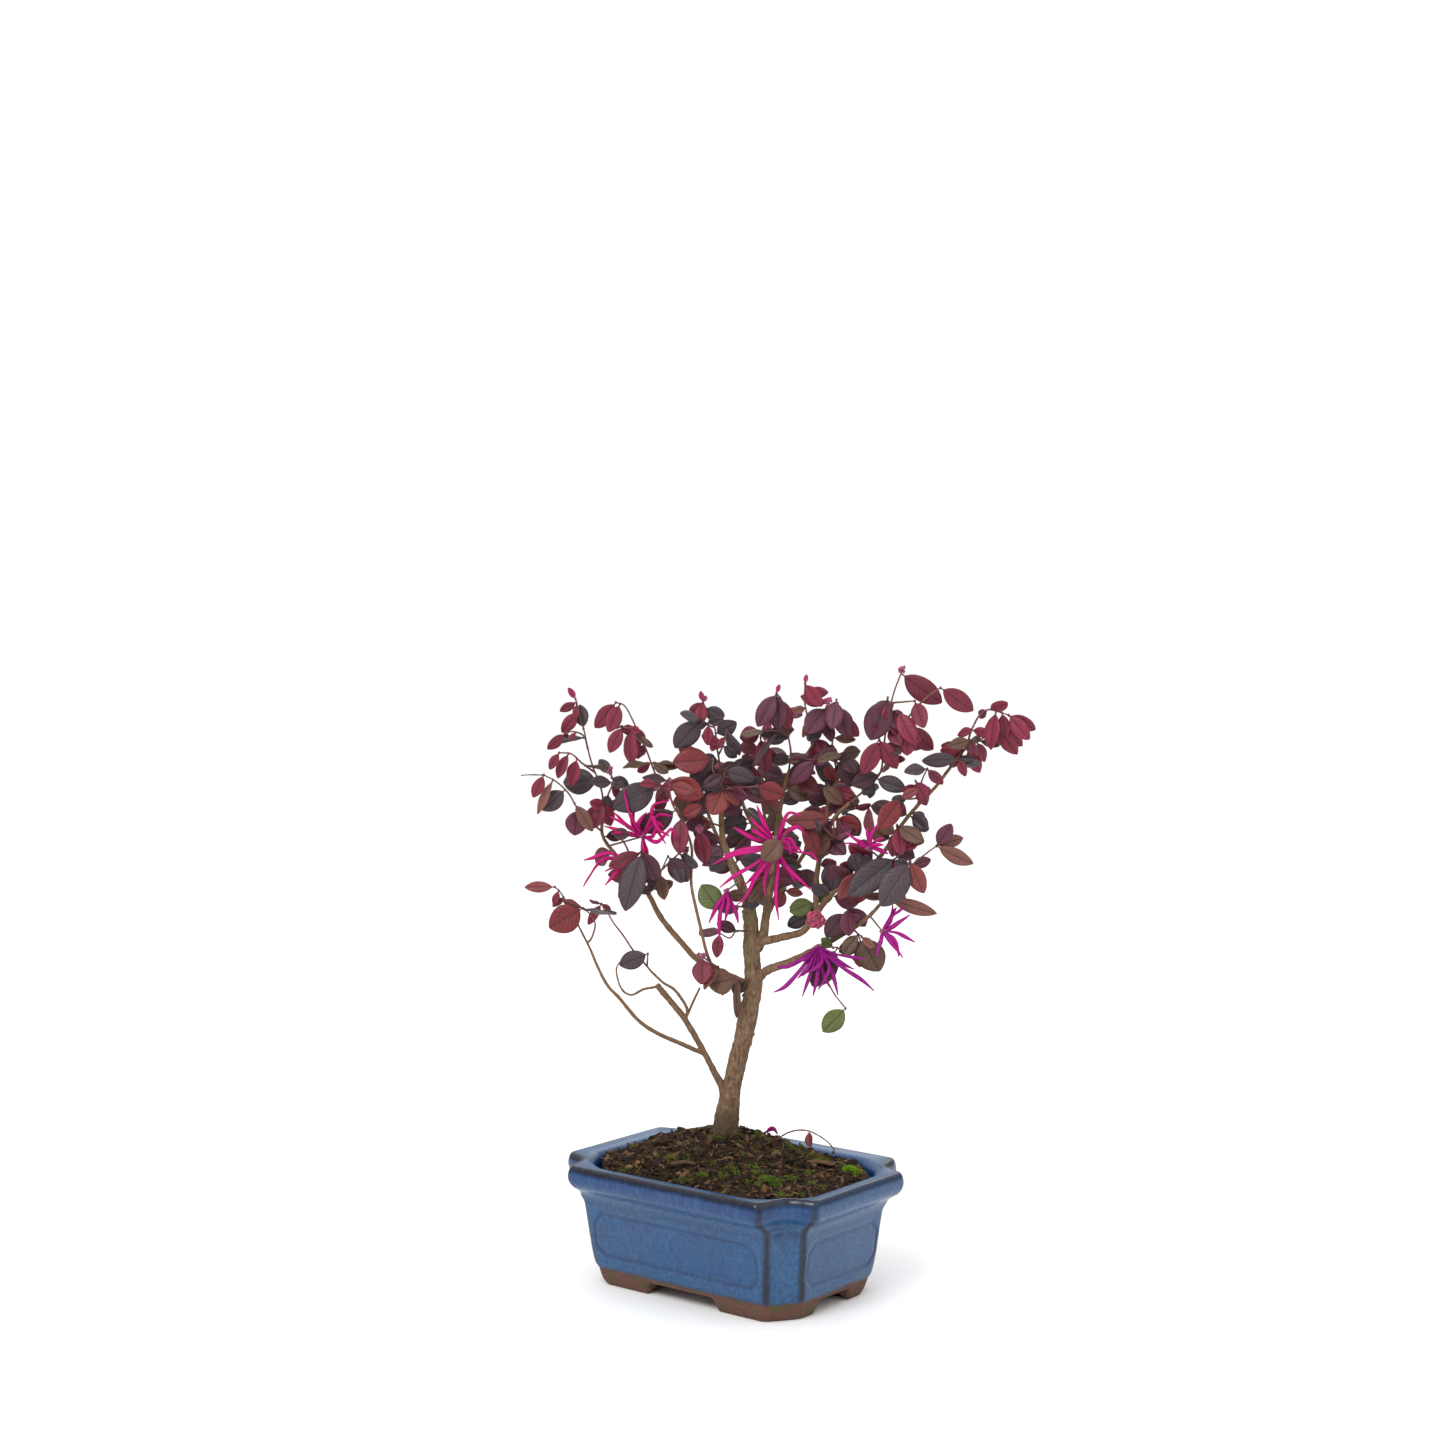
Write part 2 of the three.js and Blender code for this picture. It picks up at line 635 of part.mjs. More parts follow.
function settledLeaf(root, row, count, owner) {
  // turns a leaf a little, and at worst shortens it, until it clears its neighbours
  const [, heading, length, kind, face = 0, lean = 0, width = length * leafWidth[kind]] = row;
  const sway = Math.sin(2.4 * count + length);
  for (const share of [1, 0.88, 0.76, 0.62]) {
    const size = share * leafSize;
    for (const [moreHeading, moreLean, moreFace] of smallTurns) {
      const leaf = makeLeaf(root, heading + moreHeading, lean + 14 * sway + moreLean,
        face + 16 * Math.cos(3.7 * count) + moreFace, length * size, width * size, sway);
      if (leafIsClear(leaf, owner)) return leaf;
    }
  }
  throw new Error(`no room for leaf ${count} of ${owner}`);
}

function leafSolid(leaf) {
  // flat above with a keel along its midrib below
  const keel = leafThickness * 0.8;
  const start = leaf.root.clone();
  const ring = (along, sideWidth) => {
    const share = sideWidth / halfWidthAt(leaf, along);
    const edges = [bladePoint(leaf, along, share), bladePoint(leaf, along, -share)];
    return [edges[0], bladePoint(leaf, along, 0, -keel), edges[1]];
  };
  const base = ring(0.001, stalkWidth / 2);
  return solidFromRings([
    [start], base, ring(0.35, halfWidthAt(leaf, 0.35)), ring(0.7, halfWidthAt(leaf, 0.7)),
    [bladePoint(leaf, 1, 0)],
  ]);
}

// ---------------------------------------------------------------- leaf sprays
// A leaf is [place along its shoot, heading, length, kind, face, lean, width]; the last three may be
// left out. A spray starts on a branch at a knot; its other shoots start part way along the first.
const sprays = {
  top_left: { on: ['left_limb', 10], shoots: [
    { way: [[-78, 12, 291], [-80, 10, 302], [-84, 10, 312], [-87, 10, 323], [-89, 10, 333], [-92, 8, 344],
      [-94, 6, 353]],
    leaves: [[1, 330, 7, 'bud'], [0.97, 240, 10, 'young'], [0.95, 185, 8, 'young'], [0.88, 219, 14, 'young'],
      [0.74, 350, 13, 'mature'], [0.31, 268, 19, 'mature', 0, 0, 14]] },
    { at: 0.57, way: [[-89, 4, 331], [-95, 0, 334], [-100, -2, 333]],
      leaves: [[1, 225, 12, 'young'], [0.3, 268, 18, 'mature', 60], [0.6, 215, 6, 'young'],
        [0.9, 185, 9, 'young']] },
    { at: 0.38, way: [[-90, 2, 315], [-96, -4, 321], [-103, -8, 322]],
      leaves: [[1, 212, 10, 'young'], [0.75, 208, 14, 'young', 50], [0.5, 195, 15, 'young'],
        [0.25, 100, 12, 'olive', 75]] },
  ] },
  far_left: { on: ['left_limb', 9.3], shoots: [
    { way: [[-87, 4, 281], [-93, -2, 289], [-98, -5, 298], [-105, -8, 305], [-112, -10, 309]],
      leaves: [[1, 272, 12, 'olive', 75], [1, 212, 13, 'young'], [0.85, 208, 20, 'tan', 45],
        [0.65, 228, 17, 'mature'], [0.45, 145, 17, 'tan'], [0.38, 185, 14, 'dusky', 0, 0, 12]] },
  ] },
  left_inner: { on: ['left_limb', 9.6], shoots: [
    { way: [[-76, 8, 286], [-77, 2, 291]],
      leaves: [[1, 205, 14, 'young'], [1, 165, 15, 'young'], [0.8, 232, 13, 'young']] },
    { at: 0.4, way: [[-75, 9, 295], [-72, 10, 303], [-74, 10, 310]], buds: 3,
      leaves: [[0.9, 320, 10, 'mature'], [0.8, 115, 10, 'mature'], [0.6, 150, 9, 'young']] },
  ] },
  low_hanging: { on: ['left_limb', 7.6], shoots: [
    { way: [[-58, 0, 259], [-54, -11, 264]],
      leaves: [[1, 198, 32, 'mature', 0, 5, 14], [0.9, 228, 18, 'young'], [1, 162, 18, 'dark'],
        [0.5, 175, 17, 'young', 60]] },
    { at: 0.3, way: [[-66, 6, 268], [-72, 2, 273]], leaves: [[1, 80, 12, 'dark']] },
  ] },
  left_fork: { on: ['left_limb', 6.2], shoots: [
    { way: [[-46, 8, 241], [-43, 5, 250], [-39, 3, 259]],
      leaves: [[1, 150, 17, 'dark', 0, 0, 12], [0.6, 172, 14, 'olive', 40]] },
    { at: 0.7, way: [[-34, 6, 259], [-29, 4, 263]], buds: 3, leaves: [] },
  ] },
  thin_stem_top: { on: ['thin_stem', 8], shoots: [
    { way: [[-43, 12, 300], [-48, 12, 311], [-52, 12, 322], [-57, 12, 333], [-61, 10, 342], [-65, 8, 349],
      [-70, 6, 351]],
    leaves: [[1, 220, 18, 'young'], [0.93, 200, 17, 'young']] },
    { at: 0.6, way: [[-60, 4, 335], [-66, 0, 337]],
      leaves: [[1, 207, 15, 'young'], [1, 275, 10, 'olive', 70], [0.6, 182, 19, 'young', 45],
        [0.5, 138, 14, 'olive', 40]] },
    { at: 0.28, way: [[-46, 4, 315], [-51, 2, 315]],
      leaves: [[1, 268, 13, 'olive', 78], [0.6, 100, 12, 'mature', 70]] },
    { at: 0.14, way: [[-45, 2, 302]], leaves: [[1, 234, 26, 'mature', 0, 0, 15], [1, 285, 11, 'young', 50]] },
  ] },
  thin_stem_middle: { on: ['thin_stem', 7.3], shoots: [
    { way: [[-31, 4, 283]], leaves: [[1, 185, 20, 'young', 0, 0, 10], [1, 60, 12, 'red']] },
    { at: 0.5, way: [[-36, 2, 290], [-38, 0, 300], [-38, 0, 306]],
      leaves: [[1, 122, 20, 'red', 0, 0, 13], [0.8, 105, 14, 'salmon', 40], [0.2, 240, 23, 'dark']] },
  ] },
  upper_left_top: { on: ['upper_left', 6], shoots: [
    { way: [[-8, 18, 312], [-10, 16, 325], [-11, 14, 335], [-15, 12, 344], [-18, 10, 351]],
      leaves: [[1, 228, 11, 'young'], [1, 180, 13, 'young'], [0.9, 115, 11, 'mature'],
        [0.85, 140, 10, 'young'],
        [1, 345, 6, 'bud'], [1, 25, 6, 'bud']] },
    { at: 0.62, way: [[-14, 6, 337], [-19, 2, 341]],
      leaves: [[1, 222, 21, 'mature', 0, 0, 13], [1, 290, 13, 'mature', 40], [0.6, 180, 12, 'young']] },
    { at: 0.3, way: [[-6, 12, 325], [-4, 10, 334]],
      leaves: [[1, 157, 16, 'mature', 50], [0.8, 215, 8, 'young']] },
  ] },
  upper_left_side: { on: ['upper_left', 5.5], shoots: [
    { way: [[-6, 12, 299], [-12, 6, 310], [-12, 6, 317]],
      leaves: [[1, 268, 21, 'red', 0, 0, 14], [0.9, 235, 16, 'mature'], [0.5, 262, 18, 'mature'],
        [0.3, 205, 15, 'salmon', 0, 20, 13], [0.2, 230, 16, 'dark']] },
    { at: 0.4, way: [[-5, 4, 311]], leaves: [[1, 112, 17, 'mature'], [1, 85, 14, 'dark', 70]] },
    { at: 0.15, way: [[4, 12, 298]],
      leaves: [[1, 107, 17, 'dusky', 0, 0, 9], [1, 60, 12, 'mature'], [0.5, 208, 14, 'tan', 0, 0, 6]] },
    { at: 0.25, way: [[6, 8, 300], [14, 4, 301]], leaves: [[1, 110, 15, 'red', 0, 0, 11]] },
  ] },
  middle_left_top: { on: ['middle_left', 4], shoots: [
    { way: [[12, 34, 313], [16, 30, 321], [17, 24, 332]],
      leaves: [[1, 255, 12, 'young', 0, 0, 10], [0.9, 178, 19, 'young'], [0.7, 125, 12, 'young'],
        [0.4, 240, 15, 'mature']] },
  ] },
  upper_middle_top: { on: ['upper_middle', 8], shoots: [
    { way: [[35, 30, 320], [33, 28, 332], [32, 26, 345], [29, 20, 352], [26, 16, 356]],
      leaves: [[1, 212, 20, 'dusky', 0, 0, 10], [1, 178, 20, 'dusky'], [0.85, 165, 18, 'young'],
        [1, 20, 5, 'bud'], [0.15, 253, 10, 'mature'], [0.12, 95, 12, 'dark']] },
    { at: 0.4, way: [[27, 22, 333], [20, 20, 333]],
      leaves: [[1, 265, 14, 'olive', 80], [0.5, 222, 23, 'dark', 70]] },
  ] },
  upper_middle_side: { on: ['upper_middle', 7], shoots: [
    { way: [[40, 26, 312], [50, 24, 328], [55, 22, 342], [57, 20, 351]], buds: 3,
      leaves: [[0.9, 222, 20, 'dusky'], [0.95, 285, 15, 'young'], [0.5, 187, 18, 'young', 0, 0, 6],
        [0.35, 250, 11, 'olive'], [0.12, 128, 17, 'red', 0, 10, 10], [0.2, 112, 13, 'tan']] },
    { at: 0.5, way: [[46, 20, 338], [43, 16, 350], [43, 12, 362]],
      leaves: [[1, 143, 15, 'young'], [0.85, 100, 13, 'young'], [1, 10, 5, 'bud'],
        [0.2, 62, 24, 'tan', 70]] },
    { at: 0.3, way: [[50, 17, 316]], leaves: [[1, 227, 19, 'dusky', 0, 10, 9], [1, 60, 12, 'dark']] },
  ] },
  right_back_top: { on: ['right_back', 3], shoots: [
    { way: [[62, 26, 312], [60, 25, 323], [61, 20, 337], [62, 16, 352]],
      leaves: [[1, 190, 17, 'dusky', 0, 0, 10], [0.95, 165, 18, 'dusky'], [0.85, 133, 17, 'young'],
        [0.6, 95, 12, 'tan']] },
    { at: 0.35, way: [[66, 14, 320]], leaves: [[1, 160, 20, 'dark', 0, 0, 13], [1, 262, 16, 'olive', 50]] },
  ] },
  right_inner_top: { on: ['right_inner', 5], shoots: [
    { way: [[80, 12, 299], [88, 12, 308], [90, 12, 320], [91, 12, 330], [93, 12, 342], [96, 12, 356],
      [101, 10, 370]], buds: 3,
    leaves: [[0.98, 128, 26, 'young', 0, 0, 13], [0.24, 108, 17, 'mature', 0, 15, 9],
      [0.28, 252, 17, 'dark']] },
    { at: 0.28, way: [[96, 10, 320], [103, 8, 333], [104, 6, 341], [110, 4, 349], [117, 2, 356],
      [123, 0, 360]],
      leaves: [[1, 125, 21, 'young'], [0.7, 178, 9, 'young'], [0.5, 182, 19, 'young', 0, 15, 12],
        [0.4, 128, 20, 'young']] },
    { at: 0.72, way: [[92, 4, 354]], leaves: [[1, 203, 24, 'dusky', 0, 0, 15]] },
    { at: 0.6, way: [[98, 6, 346]], leaves: [[1, 160, 20, 'young']] },
    { at: 0.42, way: [[87, 4, 329]],
      leaves: [[1, 205, 20, 'young'], [1, 165, 19, 'young', 30], [0.5, 182, 14, 'young']] },
    { at: 0.8, way: [[108, 4, 352]], leaves: [[1, 165, 18, 'young']] },
  ] },
  right_high_top: { on: ['right_high', 12], shoots: [
    { way: [[138, 8, 322], [147, 8, 328], [153, 8, 332], [158, 4, 336]],
      leaves: [[1, 127, 17, 'young'], [1, 147, 17, 'young'], [0.9, 165, 13, 'young'],
        [0.5, 105, 11, 'mature', 0, 0, 4], [0.3, 150, 15, 'young']] },
    { at: 0.3, way: [[141, 6, 331], [144, 4, 339], [147, 2, 344], [151, 0, 347], [157, -2, 346],
      [163, -4, 344]],
      leaves: [[1, 120, 16, 'young'], [1, 142, 17, 'young'], [0.9, 170, 13, 'young'],
        [0.8, 195, 20, 'young', 50]] },
    { at: 0.1, way: [[134, 0, 318]],
      leaves: [[1, 265, 19, 'mature', 0, 0, 8], [1, 160, 10, 'young'], [1, 115, 14, 'mature', 60]] },
    { at: 0.25, way: [[141, -2, 329]], leaves: [[1, 255, 12, 'olive'], [1, 175, 12, 'young']] },
  ] },
  right_fork: { on: ['right_high', 10], shoots: [
    { way: [[112, 2, 297], [112, 0, 304], [115, -4, 312]],
      leaves: [[1, 135, 12, 'young'], [1, 270, 12, 'mature', 50]] },
    { at: 0.5, way: [[108, -6, 305]], leaves: [[1, 150, 12, 'young', 0, 0, 8]] },
    { at: 0.15, way: [[104, -3, 294], [99, -8, 295]],
      leaves: [[1, 217, 20, 'red', 0, 0, 11], [1, 60, 10, 'salmon']] },
  ] },
  right_short: { on: ['right_high', 8.6], shoots: [
    { way: [[97, -5, 275], [97, -8, 279]],
      leaves: [[0.6, 192, 14, 'young'], [1, 172, 16, 'young'], [0.9, 150, 11, 'young'],
        [1, 128, 17, 'olive']] },
  ] },
  right_arch: { on: ['right_high', 7.2], shoots: [
    { way: [[88, -4, 255], [96, -8, 259], [100, -10, 264]],
      leaves: [[0.75, 236, 33, 'mature', 0, 12, 15], [1, 60, 10, 'young']] },
  ] },
  right_low_tip: { on: ['right_low', 8], shoots: [
    { way: [[97, -12, 244], [104, -12, 254], [112, -12, 261], [120, -12, 267]],
      leaves: [[1, 118, 21, 'tan'], [1, 75, 17, 'tan'], [1, 50, 14, 'dusky']] },
    { at: 0.52, way: [[104, -19, 259]],
      leaves: [[1, 214, 28, 'mature', 0, 12, 15], [1, 160, 18, 'salmon', 0, 0, 10]] },
    { at: 0.08, way: [[91, -16, 237]], leaves: [[1, 112, 28, 'tan', 0, 0, 8]] },
  ] },
  right_middle: { on: ['right_high', 6.3], shoots: [
    { way: [[73, -5, 251]], leaves: [[1, 178, 18, 'red', 0, 0, 15], [1, 212, 17, 'salmon']] },
  ] },
  right_inner_low: { on: ['right_inner', 2.8], shoots: [
    { way: [[60, 8, 270], [60, 6, 281]],
      leaves: [[1, 272, 26, 'salmon', 0, 0, 10], [0.95, 235, 13, 'dusky'],
        [0.5, 240, 18, 'olive', 0, 0, 12]] },
    { at: 0.5, way: [[50, 5, 280], [42, 3, 283]], leaves: [[1, 133, 22, 'red', 0, 20, 10]] },
  ] },
  right_low_middle: { on: ['right_low', 5], shoots: [
    { way: [[67, -6, 222], [68, -8, 230]],
      leaves: [[1, 140, 17, 'dusky'], [1, 178, 15, 'dusky'], [0.8, 205, 17, 'dark', 0, 0, 11]] },
  ] },
  right_low_cluster: { on: ['right_low', 5.7], shoots: [
    { way: [[76, -12, 213]], leaves: [[1, 155, 20, 'olive', 0, 0, 16], [1, 125, 11, 'tan']] },
    { at: 0.4, way: [[77, -8, 206]],
      leaves: [[1, 188, 13, 'red'], [1, 150, 11, 'salmon'], [0.7, 215, 15, 'dark', 70]] },
  ] },
  right_low_base: { on: ['right_low', 2.7], shoots: [
    { way: [[56, -2, 205], [62, -4, 205], [68, -6, 202], [73, -8, 197]],
      leaves: [[0.5, 223, 24, 'dark', 0, 0, 14], [0.4, 290, 8, 'green']] },
    { at: 0.05, way: [[54, -4, 190], [60, -5, 178], [67, -6, 169]],
      leaves: [[1, 222, 18, 'green', 0, 0, 11]] },
  ] },
  right_high_base: { on: ['right_high', 3.2], shoots: [
    { way: [[45, 13, 222], [49, 12, 230]],
      leaves: [[1, 205, 17, 'olive', 0, 0, 13], [1, 250, 14, 'green'], [1, 60, 12, 'green'],
        [0.4, 240, 13, 'mature']] },
  ] },
  trunk_middle: { on: ['trunk', 7.3], shoots: [
    { way: [[5, 14, 183], [2, 10, 184]],
      leaves: [[1, 262, 15, 'olive', 0, 0, 14], [0.9, 182, 22, 'olive', 40, 0, 5]] },
  ] },
  left_limb_base: { on: ['left_limb', 2], shoots: [
    { way: [[-9, 12, 191]], leaves: [[1, 172, 17, 'young', 0, 0, 6], [1, 198, 17, 'tan', 0, 0, 6]] },
    { at: 0.5, way: [[-15, 10, 195], [-19, 8, 198]], buds: 2, leaves: [[0.9, 183, 15, 'young', 0, 0, 11]] },
  ] },
  trunk_upper: { on: ['trunk', 11.2], shoots: [
    { way: [[3, 10, 228], [-3, 7, 229], [-8, 4, 226]], leaves: [[1, 325, 17, 'green', 0, 0, 13]] },
    { at: 0.15, way: [[12, 8, 242], [24, 8, 248]], leaves: [[1, 222, 21, 'olive', 0, 10, 6]] },
  ] },
  trunk_left: { on: ['trunk', 9.9], shoots: [
    { way: [[2, 10, 213], [-2, 9, 209], [-8, 8, 212]],
      leaves: [[1, 190, 13, 'young'], [1, 270, 15, 'dusky', 75], [0.3, 290, 12, 'dark']] },
  ] },
  upper_left_low: { on: ['upper_left', 3.8], shoots: [
    { way: [[-14, 20, 277], [-20, 12, 275]], buds: 3, leaves: [[1, 173, 20, 'young', 0, 0, 10]] },
  ] },
  long_left_tip: { on: ['long_left', 7], shoots: [
    { way: [[-91, -4, 216], [-96, -4, 226], [-99, -4, 232], [-103, -6, 239], [-106, -7, 242]],
      leaves: [[1, 270, 16, 'salmon', 0, 0, 6], [0.7, 228, 8, 'young'], [0.85, 200, 8, 'young']] },
    { at: 0.06, way: [[-84, -8, 212], [-82, -9, 220], [-85, -9, 226], [-89, -12, 230]],
      leaves: [[1, 240, 20, 'red', 0, 0, 15], [1, 285, 12, 'red'], [0.95, 100, 17, 'mature', 50]] },
  ] },
  middle_left_low_tip: { on: ['middle_left_low', 4], shoots: [
    { way: [[-54, 6, 195], [-60, 6, 202], [-66, 6, 211], [-72, 6, 219], [-76, 6, 226], [-79, 6, 230]],
      leaves: [[1, 215, 13, 'young', 0, 0, 5], [1, 280, 7, 'young'], [1, 130, 7, 'young']] },
    { at: 0.08, way: [[-51, -1, 201]], leaves: [[1, 246, 17, 'mature', 0, 0, 10]] },
  ] },
  inner_small: { on: ['upper_middle', 2.6], shoots: [
    { way: [[31, 14, 237]], leaves: [[1, 200, 10, 'red'], [1, 100, 10, 'salmon']] },
  ] },
  centre_leaf: { on: ['upper_middle', 4.6], shoots: [
    { way: [[28, 18, 266], [33, -2, 277], [29, -19, 272]], leaves: [[1, 225, 15, 'olive', 0, 0, 12]] },
  ] },
  back_left_tip: { on: ['back_left', 3], shoots: [
    { way: [[-19, 72, 294], [-18, 78, 310]],
      leaves: [[1, 300, 16, 'young', 160], [1, 190, 17, 'mature', 150], [0.9, 95, 15, 'young', 170],
        [0.7, 240, 18, 'dark', 160], [0.5, 120, 16, 'dusky', 190], [0.3, 260, 17, 'red', 170]] },
    { at: 0.15, way: [[-30, 60, 292], [-40, 54, 300]],
      leaves: [[1, 280, 14, 'mature', 150], [1, 200, 16, 'young', 160], [0.5, 180, 17, 'olive', 170]] },
    { at: 0.1, way: [[-6, 66, 288]], leaves: [[1, 80, 16, 'dark', 160], [1, 140, 15, 'mature', 170]] },
  ] },
  back_right_tip: { on: ['back_right', 3], shoots: [
    { way: [[62, 74, 290], [66, 80, 308]],
      leaves: [[1, 330, 14, 'young', 160], [1, 200, 17, 'mature', 150], [0.9, 110, 15, 'young', 170],
        [0.6, 250, 18, 'dark', 160], [0.4, 100, 16, 'dusky', 190]] },
    { at: 0.1, way: [[70, 64, 280], [84, 58, 284]],
      leaves: [[1, 100, 16, 'mature', 160], [1, 180, 17, 'young', 150], [0.5, 150, 16, 'olive', 170]] },
    { at: 0.4, way: [[50, 80, 292], [44, 80, 294]], leaves: [[1, 290, 16, 'red', 160],
      [1, 230, 14, 'mature', 170]] },
  ] },
  back_middle_tip: { on: ['back_middle', 2], shoots: [
    { way: [[18, 68, 304], [20, 72, 322]],
      leaves: [[1, 10, 12, 'bud', 160], [1, 215, 17, 'young', 150], [0.9, 120, 16, 'mature', 170],
        [0.5, 270, 17, 'dusky', 160], [0.3, 85, 16, 'dark', 190]] },
    { at: 0.3, way: [[6, 64, 308]], leaves: [[1, 260, 15, 'mature', 150], [1, 190, 15, 'young', 160]] },
  ] },
};

function branchPoint(name, knot) {
  const branch = wood[name];
  const low = Math.min(Math.floor(knot), branch.points.length - 2);
  const from = branch.points[low];
  const to = branch.points[low + 1];
  return {
    centre: from.clone().lerp(to, knot - low),
    along: to.clone().sub(from).normalize(),
    radius: radiusAt(branch.radii, knot / (branch.points.length - 1)),
    tip: knot >= branch.points.length - 1,
  };
}

function startOnBranch(name, knot, towards, radius) {
  // the first point of a shoot, its end just clear of the bark
  const { centre, along, radius: branchRadius, tip } = branchPoint(name, knot);
  const direction = towards.clone().sub(centre).normalize();
  const cosine = Math.abs(direction.dot(along));
  const sine = Math.sqrt(1 - cosine * cosine);
  const away = tip
    ? clearance + (branchRadius + radius) * sine
    : (branchRadius + clearance + 0.2 + radius * cosine) / Math.max(sine, 0.35);
  return centre.addScaledVector(direction, away);
}

function placeAlong(points, share) {
  const place = share * (points.length - 1);
  const low = Math.min(Math.floor(place), points.length - 2);
  return points[low].clone().lerp(points[low + 1], place - low);
}

for (const [name, branch] of Object.entries(wood)) {
  const count = branch.points.length - 1;
  for (let i = 0; i < count; i += 1) {
    const radius = Math.max(radiusAt(branch.radii, i / count), radiusAt(branch.radii, (i + 1) / count));
    addRods([branch.points[i], branch.points[i + 1]], radius, name);
  }
}

// every shoot first, then the flowers, then the leaves
for (const [name, spray] of Object.entries(sprays)) {
  for (const shoot of spray.shoots) {
    const rest = shoot.way.map(grown);
    const first = shoot.at === undefined
      ? startOnBranch(spray.on[0], spray.on[1], rest[0], shootRadius)
      : placeAlong(spray.shoots[0].points, shoot.at);
    const parent = shoot.at === undefined ? spray.on[0] : '';
    shoot.points = settledWay([first, ...rest], shootRadius, name, parent, 0.6);
    addRods(shoot.points, shootRadius, name);
  }
}

// ---------------------------------------------------------------- flowers
// Each flower hangs on a short stalk; its petals are narrow straps that curl and wave.
const flowers = {
  flower_left: { on: ['left_limb', 8.6], centre: [-54, 0, 271], petals: [
    [[-62, -2, 285], [-65, -4, 300]], [[-60, 2, 280], [-58, 4, 291]], [[-63, -2, 277], [-73, -4, 284]],
    [[-65, 2, 274], [-77, 4, 277]], [[-49, 0, 280], [-47, -2, 290], [-38, -3, 293]],
    [[-48, -3, 283], [-45, -4, 277], [-38, -4, 272]], [[-45, -6, 269], [-37, -7, 277], [-34, -7, 270]],
    [[-54, -3, 262], [-56, -4, 254]]] },
  flower_left_low: { on: ['left_limb', 7.2], centre: [-64, -2, 259], petals: [
    [[-77, -5, 258], [-84, -6, 250], [-89, -6, 242]], [[-67, -6, 254], [-71, -7, 249], [-76, -7, 243]],
    [[-60, -6, 252], [-62, -8, 245]]] },
  flower_centre: { on: ['upper_middle', 5.3], centre: [25, -8, 268], petals: [
    [[18, -10, 280], [14, -10, 291]], [[29, -9, 278], [33, -9, 286], [40, -9, 285]],
    [[17, -11, 276], [10, -12, 284]], [[11, -9, 272], [0, -9, 278]],
    [[15, -13, 265], [0, -13, 262], [-12, -12, 256]], [[15, -10, 258], [2, -10, 250], [-8, -10, 242]],
    [[20, -15, 258], [13, -15, 248], [8, -15, 238], [2, -14, 232]],
    [[26, -12, 256], [25, -12, 238], [27, -12, 223]], [[31, -13, 256], [38, -13, 248], [46, -12, 241]],
    [[36, -9, 263], [46, -9, 262], [50, -8, 257]], [[33, -12, 271], [38, -12, 264]]] },
  flower_trunk: { on: ['upper_left', 0.7], centre: [-4, 6, 238], petals: [
    [[-8, 2, 225], [-8, 0, 208]], [[-3, 0, 230], [-5, -2, 220]], [[1, 2, 228], [3, 2, 219]]] },
  flower_low: { on: ['right_low', 3.9], centre: [50, -14, 206], petals: [
    [[40, -16, 195], [31, -15, 184], [24, -14, 180]], [[44, -18, 196], [38, -18, 189]],
    [[46, -17, 194], [41, -16, 178]], [[50, -18, 192], [47, -19, 179]], [[57, -20, 196], [50, -21, 183]],
    [[58, -17, 193], [62, -17, 179]], [[62, -20, 198], [74, -21, 190], [83, -20, 182]]] },
  flower_right: { on: ['right_low', 7], centre: [88, -18, 217], petals: [
    [[94, -20, 226], [101, -20, 232]], [[96, -18, 221], [104, -18, 227]], [[97, -20, 216], [107, -20, 211]],
    [[94, -21, 210], [100, -22, 202]], [[86, -22, 209], [84, -22, 203]]] },
  flower_right_high: { on: ['right_high', 7.7], centre: [80, -6, 265], petals: [
    [[82, -8, 273], [86, -8, 280]], [[84, -9, 269], [89, -10, 272]], [[87, -8, 264], [92, -8, 262]],
    [[74, -8, 270], [66, -8, 275]]] },
};
const flowerHead = { on: ['right_high', 3.6], centre: [49, -4, 222], radius: 5 };

const petalHalf = Math.max(petalWidth, petalThickness) / 2;

function growFlower(name, flower) {
  const centre = grown(flower.centre);
  const start = startOnBranch(flower.on[0], flower.on[1], centre, shootRadius);
  const middle = start.clone().lerp(centre, 0.5);
  flower.stalk = settledWay([start, middle, centre], shootRadius, name, flower.on[0], 0.8);
  flower.heart = flower.stalk[2];
  addRods(flower.stalk, shootRadius, name);
  addRods([flower.heart, flower.heart.clone().add(new THREE.Vector3(0, 0, 0.5))], heartRadius, name);
  flower.ways = flower.petals.map((petal) => {
    const route = routeThrough([flower.heart, ...petal.map(grown)]);
    return settledWay(route.getPoints(2 * petal.length), petalHalf, name, '', 0.5);
  });
  for (const way of flower.ways) addRods(way, petalHalf, name);
}

function strap(points, width, thickness) {
  // a narrow flat petal, widest past its middle, with its flat face towards the tree's best side
  const route = routeThrough(points);
  const steps = points.length - 1;
  const rings = [[points[0]]];
  for (let i = 0; i < steps; i += 1) {
    const t = Math.max(0.02, i / steps);
    const along = route.getTangent(t);
    const across = along.clone().cross(new THREE.Vector3(0, 1, 0)).normalize();
    const out = across.clone().cross(along);
    const half = (width / 2) * (0.55 + 0.45 * Math.sin(Math.PI * Math.min(1, t * 1.1)));
    const centre = route.getPoint(t);
    rings.push([
      centre.clone().addScaledVector(across, half), centre.clone().addScaledVector(out, thickness),
      centre.clone().addScaledVector(across, -half),
    ]);
  }
  rings.push([points[points.length - 1]]);
  return solidFromRings(rings);
}

function knob(centre, radius) {
  const ball = radius > 3
    ? new THREE.IcosahedronGeometry(radius, 0)
    : new THREE.OctahedronGeometry(radius, 0);
  ball.deleteAttribute('normal');
  ball.deleteAttribute('uv');
  ball.translate(centre.x, centre.y, centre.z);
  return solidFromGeometry(ball);
}

